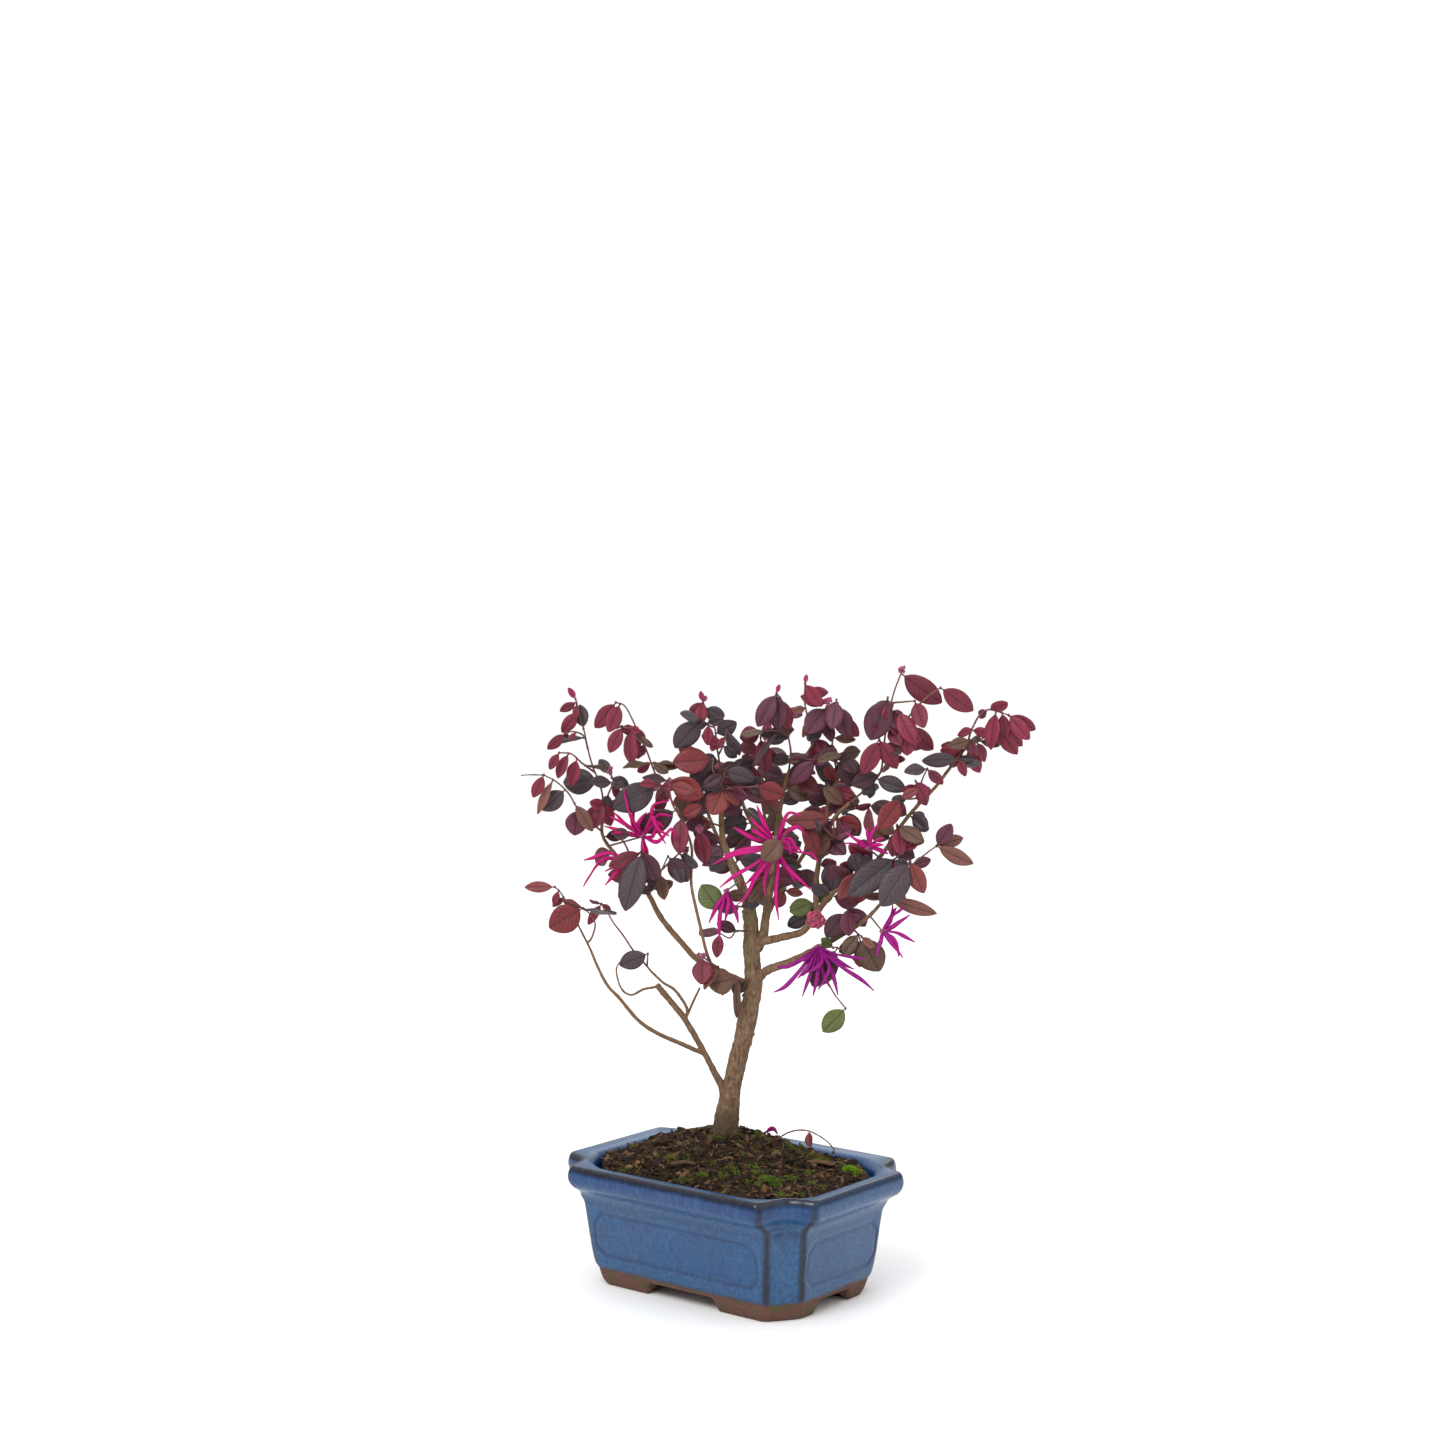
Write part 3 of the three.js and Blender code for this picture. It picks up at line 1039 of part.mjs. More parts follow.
function flowerSolid(flower) {
  return joined([
    limb(flower.stalk, shootRadii, shootSides), knob(flower.heart, heartRadius),
    ...flower.ways.map((way) => strap(way, petalWidth, petalThickness)),
  ]);
}

for (const [name, flower] of Object.entries(flowers)) growFlower(name, flower);

{
  const centre = grown(flowerHead.centre);
  const start = startOnBranch(flowerHead.on[0], flowerHead.on[1], centre, shootRadius);
  flowerHead.stalk = settledWay([start, centre], shootRadius, 'flower_head', flowerHead.on[0], 0.5);
  flowerHead.heart = flowerHead.stalk[1];
  const along = new THREE.Vector3(0, 0, 0.5);
  addRods([flowerHead.heart.clone().sub(along), flowerHead.heart.clone().add(along)],
    flowerHead.radius + 1.5, 'flower_head');
}

function flowerHeadSolid() {
  const solids = [limb(flowerHead.stalk, shootRadii, shootSides), knob(flowerHead.heart, flowerHead.radius)];
  for (let k = 0; k < 5; k += 1) {
    const angle = 2.4 * k;
    const offset = new THREE.Vector3(Math.cos(angle), -0.4, Math.sin(angle));
    offset.multiplyScalar(flowerHead.radius * 0.75);
    solids.push(knob(flowerHead.heart.clone().add(offset), flowerHead.radius * 0.42));
  }
  return joined(solids);
}

// ---------------------------------------------------------------- buds and leaves, then the sprays' solids
for (const [name, spray] of Object.entries(sprays)) {
  for (const shoot of spray.shoots) {
    const tip = shoot.points[shoot.points.length - 1];
    shoot.knobs = [];
    for (let k = 0; k < (shoot.buds || 0); k += 1) {
      const angle = 2.1 * k + 0.6;
      shoot.knobs.push(tip.clone().add(new THREE.Vector3(Math.cos(angle), -0.3, Math.sin(angle))
        .multiplyScalar(budRadius * 0.75)));
    }
    if (shoot.buds) addRods([tip, tip.clone().add(new THREE.Vector3(0, 0, 0.5))], 2 * budRadius, name);
  }
}

for (const [name, spray] of Object.entries(sprays)) {
  let count = 0;
  spray.leaves = [];
  for (const shoot of spray.shoots) {
    for (const row of shoot.leaves) {
      const leaf = settledLeaf(placeAlong(shoot.points, row[0]), row, count, name);
      blades.push(leaf);
      spray.leaves.push(leaf);
      count += 1;
    }
  }
}

function spraySolid(spray) {
  const solids = spray.shoots.map((shoot) => limb(shoot.points, shootRadii, shootSides));
  for (const shoot of spray.shoots) {
    for (const centre of shoot.knobs) solids.push(knob(centre, budRadius));
  }
  return joined([...solids, ...spray.leaves.map(leafSolid)]);
}

// ---------------------------------------------------------------- what has fallen on the soil
function fallenLeaf(x, y, length, soil) {
  const leaf = {
    root: new THREE.Vector3(x, y, soilHeight(x, y) + 1.2),
    direction: new THREE.Vector3(-0.35, 0.2, 0.9).normalize(),
    length, halfWidth: length * 0.27, fold: 0.5, droop: 0.05,
  };
  leaf.out = new THREE.Vector3(0.2, -1, 0);
  leaf.out.addScaledVector(leaf.direction, -leaf.out.dot(leaf.direction)).normalize();
  leaf.across = leaf.direction.clone().cross(leaf.out);
  return leafSolid(leaf).subtract(raised(soil));
}

function restingPoint(x, y, rise) {
  return new THREE.Vector3(x, y, soilHeight(x, y) + rise);
}

function archingStem(soil) {
  const way = [restingPoint(2, 38, -1), restingPoint(10, 43, 7), restingPoint(20, 47, 10),
    restingPoint(31, 49, 9), restingPoint(38, 50, 4), restingPoint(38, 50, 1.2)];
  return limb(way, [0.7, 0.6], 5).subtract(raised(soil));
}

function curledPetal(soil) {
  const way = [restingPoint(-8, 42, 0.6), restingPoint(-6, 43, 3.4), restingPoint(-2, 43, 4.4),
    restingPoint(1, 43, 2)];
  return strap(way, petalWidth, petalThickness).subtract(raised(soil));
}

// ---------------------------------------------------------------- putting it together
const potFinish = ['#2f5f9e', 0.25];
const plasticFinish = ['#2b2d2c', 0.6];
const soilFinish = ['#2e2118', 0.95];
const mossFinish = ['#5d7a1e', 0.95];
const barkFinish = ['#75624f', 0.85];
const leafFinish = ['#5a2c3a', 0.55];
const petalFinish = ['#c3127f', 0.6];

const assembly = new THREE.Group();
assembly.name = 'bonsai';
const tree = [];                  // these are turned with the tree

const soilSolid = makeSoil();
addPiece(assembly, 'pot', makePot(), potFinish);
addPiece(assembly, 'drainage_screen_left', makeScreen(-1), plasticFinish);
addPiece(assembly, 'drainage_screen_right', makeScreen(1), plasticFinish);
addPiece(assembly, 'soil', soilSolid, soilFinish);
addPiece(assembly, 'moss_front', moundOnSoil(44, -22, [8, 6], 3.5, 10, soilSolid), mossFinish);
addPiece(assembly, 'moss_right', moundOnSoil(66, 30, [7, 5], 5, 10, soilSolid), mossFinish);
addPiece(assembly, 'moss_left', moundOnSoil(-62, 38, [13, 7], 2.5, 10, soilSolid), mossFinish);
addPiece(assembly, 'bark_strip', plankOnSoil(-10, -35, [15, 4, 2.4], 0.75, soilSolid), barkFinish);
addPiece(assembly, 'wood_chip', plankOnSoil(47, 24, [19, 6, 2], 0.3, soilSolid), barkFinish);
addPiece(assembly, 'fallen_leaf', fallenLeaf(27, 42, 9, soilSolid), leafFinish);
addPiece(assembly, 'fallen_stem', archingStem(soilSolid), barkFinish);
addPiece(assembly, 'fallen_petal', curledPetal(soilSolid), petalFinish);

tree.push(['trunk_and_branches', makeWood(), barkFinish]);
for (const [name, spray] of Object.entries(sprays)) {
  tree.push([`spray_${name}`, spraySolid(spray), leafFinish]);
}
for (const [name, flower] of Object.entries(flowers)) tree.push([name, flowerSolid(flower), petalFinish]);
tree.push(['flower_head', flowerHeadSolid(), petalFinish]);
for (const [name, solid, finish] of tree) {
  addPiece(assembly, name, solid, finish);
  assembly.children[assembly.children.length - 1].geometry.rotateZ(turn);
}

// the frame's origin is under the middle of everything, on the table
assembly.updateMatrixWorld(true);
const box = new THREE.Box3().setFromObject(assembly, true);
const middle = box.getCenter(new THREE.Vector3());
for (const mesh of assembly.children) mesh.geometry.translate(-middle.x, -middle.y, -box.min.z);

export default assembly;
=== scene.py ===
"""A flowering fringe-flower bonsai in a blue glazed pot.

Sizes are in millimetres until the last step. The pot and what lies in it use the pot's own
directions: x along its long side. The tree uses its own: x to the right of its best side, y away.
"""
import math
import random

import bmesh
import bpy
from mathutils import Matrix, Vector, noise
from mathutils.kdtree import KDTree


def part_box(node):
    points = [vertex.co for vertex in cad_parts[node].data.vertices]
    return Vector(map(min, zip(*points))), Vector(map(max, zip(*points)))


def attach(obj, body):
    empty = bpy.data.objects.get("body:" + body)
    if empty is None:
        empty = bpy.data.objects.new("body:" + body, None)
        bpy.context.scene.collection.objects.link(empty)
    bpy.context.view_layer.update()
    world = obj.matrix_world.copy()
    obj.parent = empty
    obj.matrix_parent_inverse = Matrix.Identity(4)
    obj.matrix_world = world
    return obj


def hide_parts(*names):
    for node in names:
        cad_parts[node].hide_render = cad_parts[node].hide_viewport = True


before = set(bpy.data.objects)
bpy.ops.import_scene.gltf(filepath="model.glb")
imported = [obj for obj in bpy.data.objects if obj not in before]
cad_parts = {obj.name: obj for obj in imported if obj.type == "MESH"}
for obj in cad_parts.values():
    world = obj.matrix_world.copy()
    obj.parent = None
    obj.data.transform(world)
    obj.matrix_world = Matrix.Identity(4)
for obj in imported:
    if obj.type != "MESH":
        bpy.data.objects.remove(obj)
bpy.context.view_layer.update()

MM = 0.001
LOW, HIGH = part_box("pot")
POT_CENTRE = Vector(((LOW[0] + HIGH[0]) / 2, (LOW[1] + HIGH[1]) / 2, 0)) / MM

# ------------------------------------------------------------ sizes
POT_LENGTH = 190
POT_WIDTH = 140
POT_HEIGHT = 75
RIM_WIDTH = 14
FLOOR_TOP = 17
GLAZE_LINE = 11
FOOT_HEIGHT = 8.3
DRAIN_RADIUS = 7
DRAIN_SPACING = 70
SCREEN_SIZE = 24
SOIL_EDGE = 72.5
SOIL_MOUND = 13.5
MOUND_SPREAD = 51
TREE_TURN = math.radians(38.5)
TRUNK_RADIUS = 5.6
SHOOT_RADIUS = 0.8
PETAL_WIDTH = 2.2
HEART_RADIUS = 2.2
BUD_RADIUS = 1.6
CLEARANCE = 0.3

# ------------------------------------------------------------ where the tree's parts grow
WOOD = {
  "trunk": {
    "radii": [1.1, 1.43, 1.16, 1.02, 1, 1, 1.08, 0.95, 0.9, 0.92, 0.86, 0.72, 0.55],
    "way": [[-6, 27, 68], [-4.5, 26, 88], [-2.5, 26, 105], [0, 26, 117], [3.5, 26, 133], [6.6, 26, 146],
      [9.6, 26, 162], [12.4, 25, 176], [11.8, 25, 187], [11.2, 24, 199], [11, 23, 212], [10.2, 22, 223],
      [7.5, 22, 236]],
  },
  "left_stem": {
    "radii": [3, 1.9, 1.9],
    "way": [[-4, 26, 104], [-7, 24, 116], [-11, 22, 124], [-17, 20, 136], [-29, 16, 158], [-46, 12, 180]],
  },
  "long_left": {
    "radii": [1.5, 0.8],
    "way": [[-17, 20, 136], [-32, 14, 144], [-45, 8, 151], [-57, 4, 160], [-68, 0, 174], [-75, -2, 182],
      [-81, -4, 194], [-85, -4, 204]],
  },
  "middle_left_low": {
    "radii": [1.1, 0.8],
    "way": [[-29, 16, 158], [-28, 12, 166], [-35, 10, 177], [-42, 8, 182], [-49, 6, 189]],
  },
  "bud_twig": { "radii": [0.9, 0.7], "way": [[-29, 16, 158], [-24, 18, 169], [-20, 20, 177]] },
  "stub_twig": {
    "radii": [0.9, 0.5],
    "way": [[-45, 12, 179], [-54, 8, 178], [-61, 6, 175], [-67, 4, 179], [-70, 2, 190], [-68, 0, 196]],
  },
  "left_limb": {
    "radii": [2.4, 1.9, 1.8, 1.2, 1],
    "way": [[12, 25, 176], [5, 24, 180], [-7, 22, 186], [-21, 18, 194], [-31, 16, 205], [-43, 14, 220],
      [-50, 14, 233], [-56, 14, 243], [-69, 14, 257], [-78, 14, 269], [-79, 14, 280]],
  },
  "thin_stem": {
    "radii": [1.1, 0.8],
    "way": [[-12, 20, 188], [-16, 10, 200], [-19, 8, 213], [-22, 6, 226], [-25, 6, 241], [-25, 8, 252],
      [-25, 10, 264], [-29, 12, 276], [-34, 12, 288]],
  },
  "upper_left": {
    "radii": [3, 2, 1.3],
    "way": [[8, 22, 233], [2, 22, 245], [-2, 23, 255], [-6, 24, 266], [-7, 25, 277], [-7, 23, 290],
      [-8, 20, 302]],
  },
  "upper_middle": {
    "radii": [3.2, 2, 1.1],
    "way": [[12, 23, 196], [18, 22, 207], [20, 24, 220], [22, 26, 233], [24, 30, 247], [26, 32, 262],
      [28, 34, 280], [31, 34, 296], [34, 32, 308]],
  },
  "middle_left": {
    "radii": [1.4, 0.8],
    "way": [[25, 31, 255], [16, 36, 268], [8, 38, 282], [5, 38, 294], [8, 38, 304]],
  },
  "right_low": {
    "radii": [3.1, 1.7, 1.1],
    "way": [[12.4, 24, 177], [20, 20, 187], [33, 14, 193], [45, 8, 200], [57, 4, 207], [66, 0, 213],
      [73, -4, 218], [81, -8, 225], [88, -10, 233]],
  },
  "right_high": {
    "radii": [2.8, 1.9, 1.3, 1],
    "way": [[11, 23, 204], [20, 18, 206], [31, 14, 209], [42, 10, 213], [50, 8, 224], [58, 6, 235],
      [68, 4, 244], [80, 2, 251], [90, 2, 262], [100, 4, 277], [110, 6, 289], [120, 8, 299],
      [130, 8, 312]],
  },
  "right_inner": {
    "radii": [1.9, 1.2],
    "way": [[50, 8, 224], [50, 14, 240], [52, 18, 255], [56, 18, 270], [62, 16, 282], [70, 14, 290]],
  },
  "right_back": {
    "radii": [1.2, 0.9],
    "way": [[56, 18, 270], [57, 24, 284], [60, 27, 296], [64, 27, 304]],
  },
  "back_left": {
    "radii": [2, 1], "way": [[9, 22, 230], [3, 36, 246], [-8, 52, 262], [-16, 64, 280]],
  },
  "back_right": {
    "radii": [2, 1], "way": [[20, 24, 220], [30, 38, 236], [44, 56, 254], [56, 68, 274]],
  },
  "back_middle": {
    "radii": [1.4, 0.9], "way": [[24, 30, 247], [22, 48, 266], [18, 60, 286]],
  },
}

SPRAYS = {
  "top_left": { "on": ["left_limb", 10], "shoots": [
    { "way": [[-78, 12, 291], [-80, 10, 302], [-84, 10, 312], [-87, 10, 323], [-89, 10, 333], [-92, 8, 344],
      [-94, 6, 353]],
    "leaves": [[1, 330, 7, "bud"], [0.97, 240, 10, "young"], [0.95, 185, 8, "young"],
      [0.88, 219, 14, "young"],
      [0.74, 350, 13, "mature"], [0.31, 268, 19, "mature", 0, 0, 14]] },
    { "at": 0.57, "way": [[-89, 4, 331], [-95, 0, 334], [-100, -2, 333]],
      "leaves": [[1, 225, 12, "young"], [0.3, 268, 18, "mature", 60], [0.6, 215, 6, "young"],
        [0.9, 185, 9, "young"]] },
    { "at": 0.38, "way": [[-90, 2, 315], [-96, -4, 321], [-103, -8, 322]],
      "leaves": [[1, 212, 10, "young"], [0.75, 208, 14, "young", 50], [0.5, 195, 15, "young"],
        [0.25, 100, 12, "olive", 75]] },
  ] },
  "far_left": { "on": ["left_limb", 9.3], "shoots": [
    { "way": [[-87, 4, 281], [-93, -2, 289], [-98, -5, 298], [-105, -8, 305], [-112, -10, 309]],
      "leaves": [[1, 272, 12, "olive", 75], [1, 212, 13, "young"], [0.85, 208, 20, "tan", 45],
        [0.65, 228, 17, "mature"], [0.45, 145, 17, "tan"], [0.38, 185, 14, "dusky", 0, 0, 12]] },
  ] },
  "left_inner": { "on": ["left_limb", 9.6], "shoots": [
    { "way": [[-76, 8, 286], [-77, 2, 291]],
      "leaves": [[1, 205, 14, "young"], [1, 165, 15, "young"], [0.8, 232, 13, "young"]] },
    { "at": 0.4, "way": [[-75, 9, 295], [-72, 10, 303], [-74, 10, 310]], "buds": 3,
      "leaves": [[0.9, 320, 10, "mature"], [0.8, 115, 10, "mature"], [0.6, 150, 9, "young"]] },
  ] },
  "low_hanging": { "on": ["left_limb", 7.6], "shoots": [
    { "way": [[-58, 0, 259], [-54, -11, 264]],
      "leaves": [[1, 198, 32, "mature", 0, 5, 14], [0.9, 228, 18, "young"], [1, 162, 18, "dark"],
        [0.5, 175, 17, "young", 60]] },
    { "at": 0.3, "way": [[-66, 6, 268], [-72, 2, 273]], "leaves": [[1, 80, 12, "dark"]] },
  ] },
  "left_fork": { "on": ["left_limb", 6.2], "shoots": [
    { "way": [[-46, 8, 241], [-43, 5, 250], [-39, 3, 259]],
      "leaves": [[1, 150, 17, "dark", 0, 0, 12], [0.6, 172, 14, "olive", 40]] },
    { "at": 0.7, "way": [[-34, 6, 259], [-29, 4, 263]], "buds": 3, "leaves": [] },
  ] },
  "thin_stem_top": { "on": ["thin_stem", 8], "shoots": [
    { "way": [[-43, 12, 300], [-48, 12, 311], [-52, 12, 322], [-57, 12, 333], [-61, 10, 342], [-65, 8, 349],
      [-70, 6, 351]],
    "leaves": [[1, 220, 18, "young"], [0.93, 200, 17, "young"]] },
    { "at": 0.6, "way": [[-60, 4, 335], [-66, 0, 337]],
      "leaves": [[1, 207, 15, "young"], [1, 275, 10, "olive", 70], [0.6, 182, 19, "young", 45],
        [0.5, 138, 14, "olive", 40]] },
    { "at": 0.28, "way": [[-46, 4, 315], [-51, 2, 315]],
      "leaves": [[1, 268, 13, "olive", 78], [0.6, 100, 12, "mature", 70]] },
    { "at": 0.14, "way": [[-45, 2, 302]], "leaves": [[1, 234, 26, "mature", 0, 0, 15],
      [1, 285, 11, "young", 50]] },
  ] },
  "thin_stem_middle": { "on": ["thin_stem", 7.3], "shoots": [
    { "way": [[-31, 4, 283]], "leaves": [[1, 185, 20, "young", 0, 0, 10], [1, 60, 12, "red"]] },
    { "at": 0.5, "way": [[-36, 2, 290], [-38, 0, 300], [-38, 0, 306]],
      "leaves": [[1, 122, 20, "red", 0, 0, 13], [0.8, 105, 14, "salmon", 40], [0.2, 240, 23, "dark"]] },
  ] },
  "upper_left_top": { "on": ["upper_left", 6], "shoots": [
    { "way": [[-8, 18, 312], [-10, 16, 325], [-11, 14, 335], [-15, 12, 344], [-18, 10, 351]],
      "leaves": [[1, 228, 11, "young"], [1, 180, 13, "young"], [0.9, 115, 11, "mature"],
        [0.85, 140, 10, "young"],
        [1, 345, 6, "bud"], [1, 25, 6, "bud"]] },
    { "at": 0.62, "way": [[-14, 6, 337], [-19, 2, 341]],
      "leaves": [[1, 222, 21, "mature", 0, 0, 13], [1, 290, 13, "mature", 40], [0.6, 180, 12, "young"]] },
    { "at": 0.3, "way": [[-6, 12, 325], [-4, 10, 334]],
      "leaves": [[1, 157, 16, "mature", 50], [0.8, 215, 8, "young"]] },
  ] },
  "upper_left_side": { "on": ["upper_left", 5.5], "shoots": [
    { "way": [[-6, 12, 299], [-12, 6, 310], [-12, 6, 317]],
      "leaves": [[1, 268, 21, "red", 0, 0, 14], [0.9, 235, 16, "mature"], [0.5, 262, 18, "mature"],
        [0.3, 205, 15, "salmon", 0, 20, 13], [0.2, 230, 16, "dark"]] },
    { "at": 0.4, "way": [[-5, 4, 311]], "leaves": [[1, 112, 17, "mature"], [1, 85, 14, "dark", 70]] },
    { "at": 0.15, "way": [[4, 12, 298]],
      "leaves": [[1, 107, 17, "dusky", 0, 0, 9], [1, 60, 12, "mature"], [0.5, 208, 14, "tan", 0, 0, 6]] },
    { "at": 0.25, "way": [[6, 8, 300], [14, 4, 301]], "leaves": [[1, 110, 15, "red", 0, 0, 11]] },
  ] },
  "middle_left_top": { "on": ["middle_left", 4], "shoots": [
    { "way": [[12, 34, 313], [16, 30, 321], [17, 24, 332]],
      "leaves": [[1, 255, 12, "young", 0, 0, 10], [0.9, 178, 19, "young"], [0.7, 125, 12, "young"],
        [0.4, 240, 15, "mature"]] },
  ] },
  "upper_middle_top": { "on": ["upper_middle", 8], "shoots": [
    { "way": [[35, 30, 320], [33, 28, 332], [32, 26, 345], [29, 20, 352], [26, 16, 356]],
      "leaves": [[1, 212, 20, "dusky", 0, 0, 10], [1, 178, 20, "dusky"], [0.85, 165, 18, "young"],
        [1, 20, 5, "bud"], [0.15, 253, 10, "mature"], [0.12, 95, 12, "dark"]] },
    { "at": 0.4, "way": [[27, 22, 333], [20, 20, 333]],
      "leaves": [[1, 265, 14, "olive", 80], [0.5, 222, 23, "dark", 70]] },
  ] },
  "upper_middle_side": { "on": ["upper_middle", 7], "shoots": [
    { "way": [[40, 26, 312], [50, 24, 328], [55, 22, 342], [57, 20, 351]], "buds": 3,
      "leaves": [[0.9, 222, 20, "dusky"], [0.95, 285, 15, "young"], [0.5, 187, 18, "young", 0, 0, 6],
        [0.35, 250, 11, "olive"], [0.12, 128, 17, "red", 0, 10, 10], [0.2, 112, 13, "tan"]] },
    { "at": 0.5, "way": [[46, 20, 338], [43, 16, 350], [43, 12, 362]],
      "leaves": [[1, 143, 15, "young"], [0.85, 100, 13, "young"], [1, 10, 5, "bud"],
        [0.2, 62, 24, "tan", 70]] },
    { "at": 0.3, "way": [[50, 17, 316]], "leaves": [[1, 227, 19, "dusky", 0, 10, 9], [1, 60, 12, "dark"]] },
  ] },
  "right_back_top": { "on": ["right_back", 3], "shoots": [
    { "way": [[62, 26, 312], [60, 25, 323], [61, 20, 337], [62, 16, 352]],
      "leaves": [[1, 190, 17, "dusky", 0, 0, 10], [0.95, 165, 18, "dusky"], [0.85, 133, 17, "young"],
        [0.6, 95, 12, "tan"]] },
    { "at": 0.35, "way": [[66, 14, 320]], "leaves": [[1, 160, 20, "dark", 0, 0, 13],
      [1, 262, 16, "olive", 50]] },
  ] },
  "right_inner_top": { "on": ["right_inner", 5], "shoots": [
    { "way": [[80, 12, 299], [88, 12, 308], [90, 12, 320], [91, 12, 330], [93, 12, 342], [96, 12, 356],
      [101, 10, 370]], "buds": 3,
    "leaves": [[0.98, 128, 26, "young", 0, 0, 13], [0.24, 108, 17, "mature", 0, 15, 9],
      [0.28, 252, 17, "dark"]] },
    { "at": 0.28, "way": [[96, 10, 320], [103, 8, 333], [104, 6, 341], [110, 4, 349], [117, 2, 356],
      [123, 0, 360]],
      "leaves": [[1, 125, 21, "young"], [0.7, 178, 9, "young"], [0.5, 182, 19, "young", 0, 15, 12],
        [0.4, 128, 20, "young"]] },
    { "at": 0.72, "way": [[92, 4, 354]], "leaves": [[1, 203, 24, "dusky", 0, 0, 15]] },
    { "at": 0.6, "way": [[98, 6, 346]], "leaves": [[1, 160, 20, "young"]] },
    { "at": 0.42, "way": [[87, 4, 329]],
      "leaves": [[1, 205, 20, "young"], [1, 165, 19, "young", 30], [0.5, 182, 14, "young"]] },
    { "at": 0.8, "way": [[108, 4, 352]], "leaves": [[1, 165, 18, "young"]] },
  ] },
  "right_high_top": { "on": ["right_high", 12], "shoots": [
    { "way": [[138, 8, 322], [147, 8, 328], [153, 8, 332], [158, 4, 336]],
      "leaves": [[1, 127, 17, "young"], [1, 147, 17, "young"], [0.9, 165, 13, "young"],
        [0.5, 105, 11, "mature", 0, 0, 4], [0.3, 150, 15, "young"]] },
    { "at": 0.3, "way": [[141, 6, 331], [144, 4, 339], [147, 2, 344], [151, 0, 347], [157, -2, 346],
      [163, -4, 344]],
      "leaves": [[1, 120, 16, "young"], [1, 142, 17, "young"], [0.9, 170, 13, "young"],
        [0.8, 195, 20, "young", 50]] },
    { "at": 0.1, "way": [[134, 0, 318]],
      "leaves": [[1, 265, 19, "mature", 0, 0, 8], [1, 160, 10, "young"], [1, 115, 14, "mature", 60]] },
    { "at": 0.25, "way": [[141, -2, 329]], "leaves": [[1, 255, 12, "olive"], [1, 175, 12, "young"]] },
  ] },
  "right_fork": { "on": ["right_high", 10], "shoots": [
    { "way": [[112, 2, 297], [112, 0, 304], [115, -4, 312]],
      "leaves": [[1, 135, 12, "young"], [1, 270, 12, "mature", 50]] },
    { "at": 0.5, "way": [[108, -6, 305]], "leaves": [[1, 150, 12, "young", 0, 0, 8]] },
    { "at": 0.15, "way": [[104, -3, 294], [99, -8, 295]],
      "leaves": [[1, 217, 20, "red", 0, 0, 11], [1, 60, 10, "salmon"]] },
  ] },
  "right_short": { "on": ["right_high", 8.6], "shoots": [
    { "way": [[97, -5, 275], [97, -8, 279]],
      "leaves": [[0.6, 192, 14, "young"], [1, 172, 16, "young"], [0.9, 150, 11, "young"],
        [1, 128, 17, "olive"]] },
  ] },
  "right_arch": { "on": ["right_high", 7.2], "shoots": [
    { "way": [[88, -4, 255], [96, -8, 259], [100, -10, 264]],
      "leaves": [[0.75, 236, 33, "mature", 0, 12, 15], [1, 60, 10, "young"]] },
  ] },
  "right_low_tip": { "on": ["right_low", 8], "shoots": [
    { "way": [[97, -12, 244], [104, -12, 254], [112, -12, 261], [120, -12, 267]],
      "leaves": [[1, 118, 21, "tan"], [1, 75, 17, "tan"], [1, 50, 14, "dusky"]] },
    { "at": 0.52, "way": [[104, -19, 259]],
      "leaves": [[1, 214, 28, "mature", 0, 12, 15], [1, 160, 18, "salmon", 0, 0, 10]] },
    { "at": 0.08, "way": [[91, -16, 237]], "leaves": [[1, 112, 28, "tan", 0, 0, 8]] },
  ] },
  "right_middle": { "on": ["right_high", 6.3], "shoots": [
    { "way": [[73, -5, 251]], "leaves": [[1, 178, 18, "red", 0, 0, 15], [1, 212, 17, "salmon"]] },
  ] },
  "right_inner_low": { "on": ["right_inner", 2.8], "shoots": [
    { "way": [[60, 8, 270], [60, 6, 281]],
      "leaves": [[1, 272, 26, "salmon", 0, 0, 10], [0.95, 235, 13, "dusky"],
        [0.5, 240, 18, "olive", 0, 0, 12]] },
    { "at": 0.5, "way": [[50, 5, 280], [42, 3, 283]], "leaves": [[1, 133, 22, "red", 0, 20, 10]] },
  ] },
  "right_low_middle": { "on": ["right_low", 5], "shoots": [
    { "way": [[67, -6, 222], [68, -8, 230]],
      "leaves": [[1, 140, 17, "dusky"], [1, 178, 15, "dusky"], [0.8, 205, 17, "dark", 0, 0, 11]] },
  ] },
  "right_low_cluster": { "on": ["right_low", 5.7], "shoots": [
    { "way": [[76, -12, 213]], "leaves": [[1, 155, 20, "olive", 0, 0, 16], [1, 125, 11, "tan"]] },
    { "at": 0.4, "way": [[77, -8, 206]],
      "leaves": [[1, 188, 13, "red"], [1, 150, 11, "salmon"], [0.7, 215, 15, "dark", 70]] },
  ] },
  "right_low_base": { "on": ["right_low", 2.7], "shoots": [
    { "way": [[56, -2, 205], [62, -4, 205], [68, -6, 202], [73, -8, 197]],
      "leaves": [[0.5, 223, 24, "dark", 0, 0, 14], [0.4, 290, 8, "green"]] },
    { "at": 0.05, "way": [[54, -4, 190], [60, -5, 178], [67, -6, 169]],
      "leaves": [[1, 222, 18, "green", 0, 0, 11]] },
  ] },
  "right_high_base": { "on": ["right_high", 3.2], "shoots": [
    { "way": [[45, 13, 222], [49, 12, 230]],
      "leaves": [[1, 205, 17, "olive", 0, 0, 13], [1, 250, 14, "green"], [1, 60, 12, "green"],
        [0.4, 240, 13, "mature"]] },
  ] },
  "trunk_middle": { "on": ["trunk", 7.3], "shoots": [
    { "way": [[5, 14, 183], [2, 10, 184]],
      "leaves": [[1, 262, 15, "olive", 0, 0, 14], [0.9, 182, 22, "olive", 40, 0, 5]] },
  ] },
  "left_limb_base": { "on": ["left_limb", 2], "shoots": [
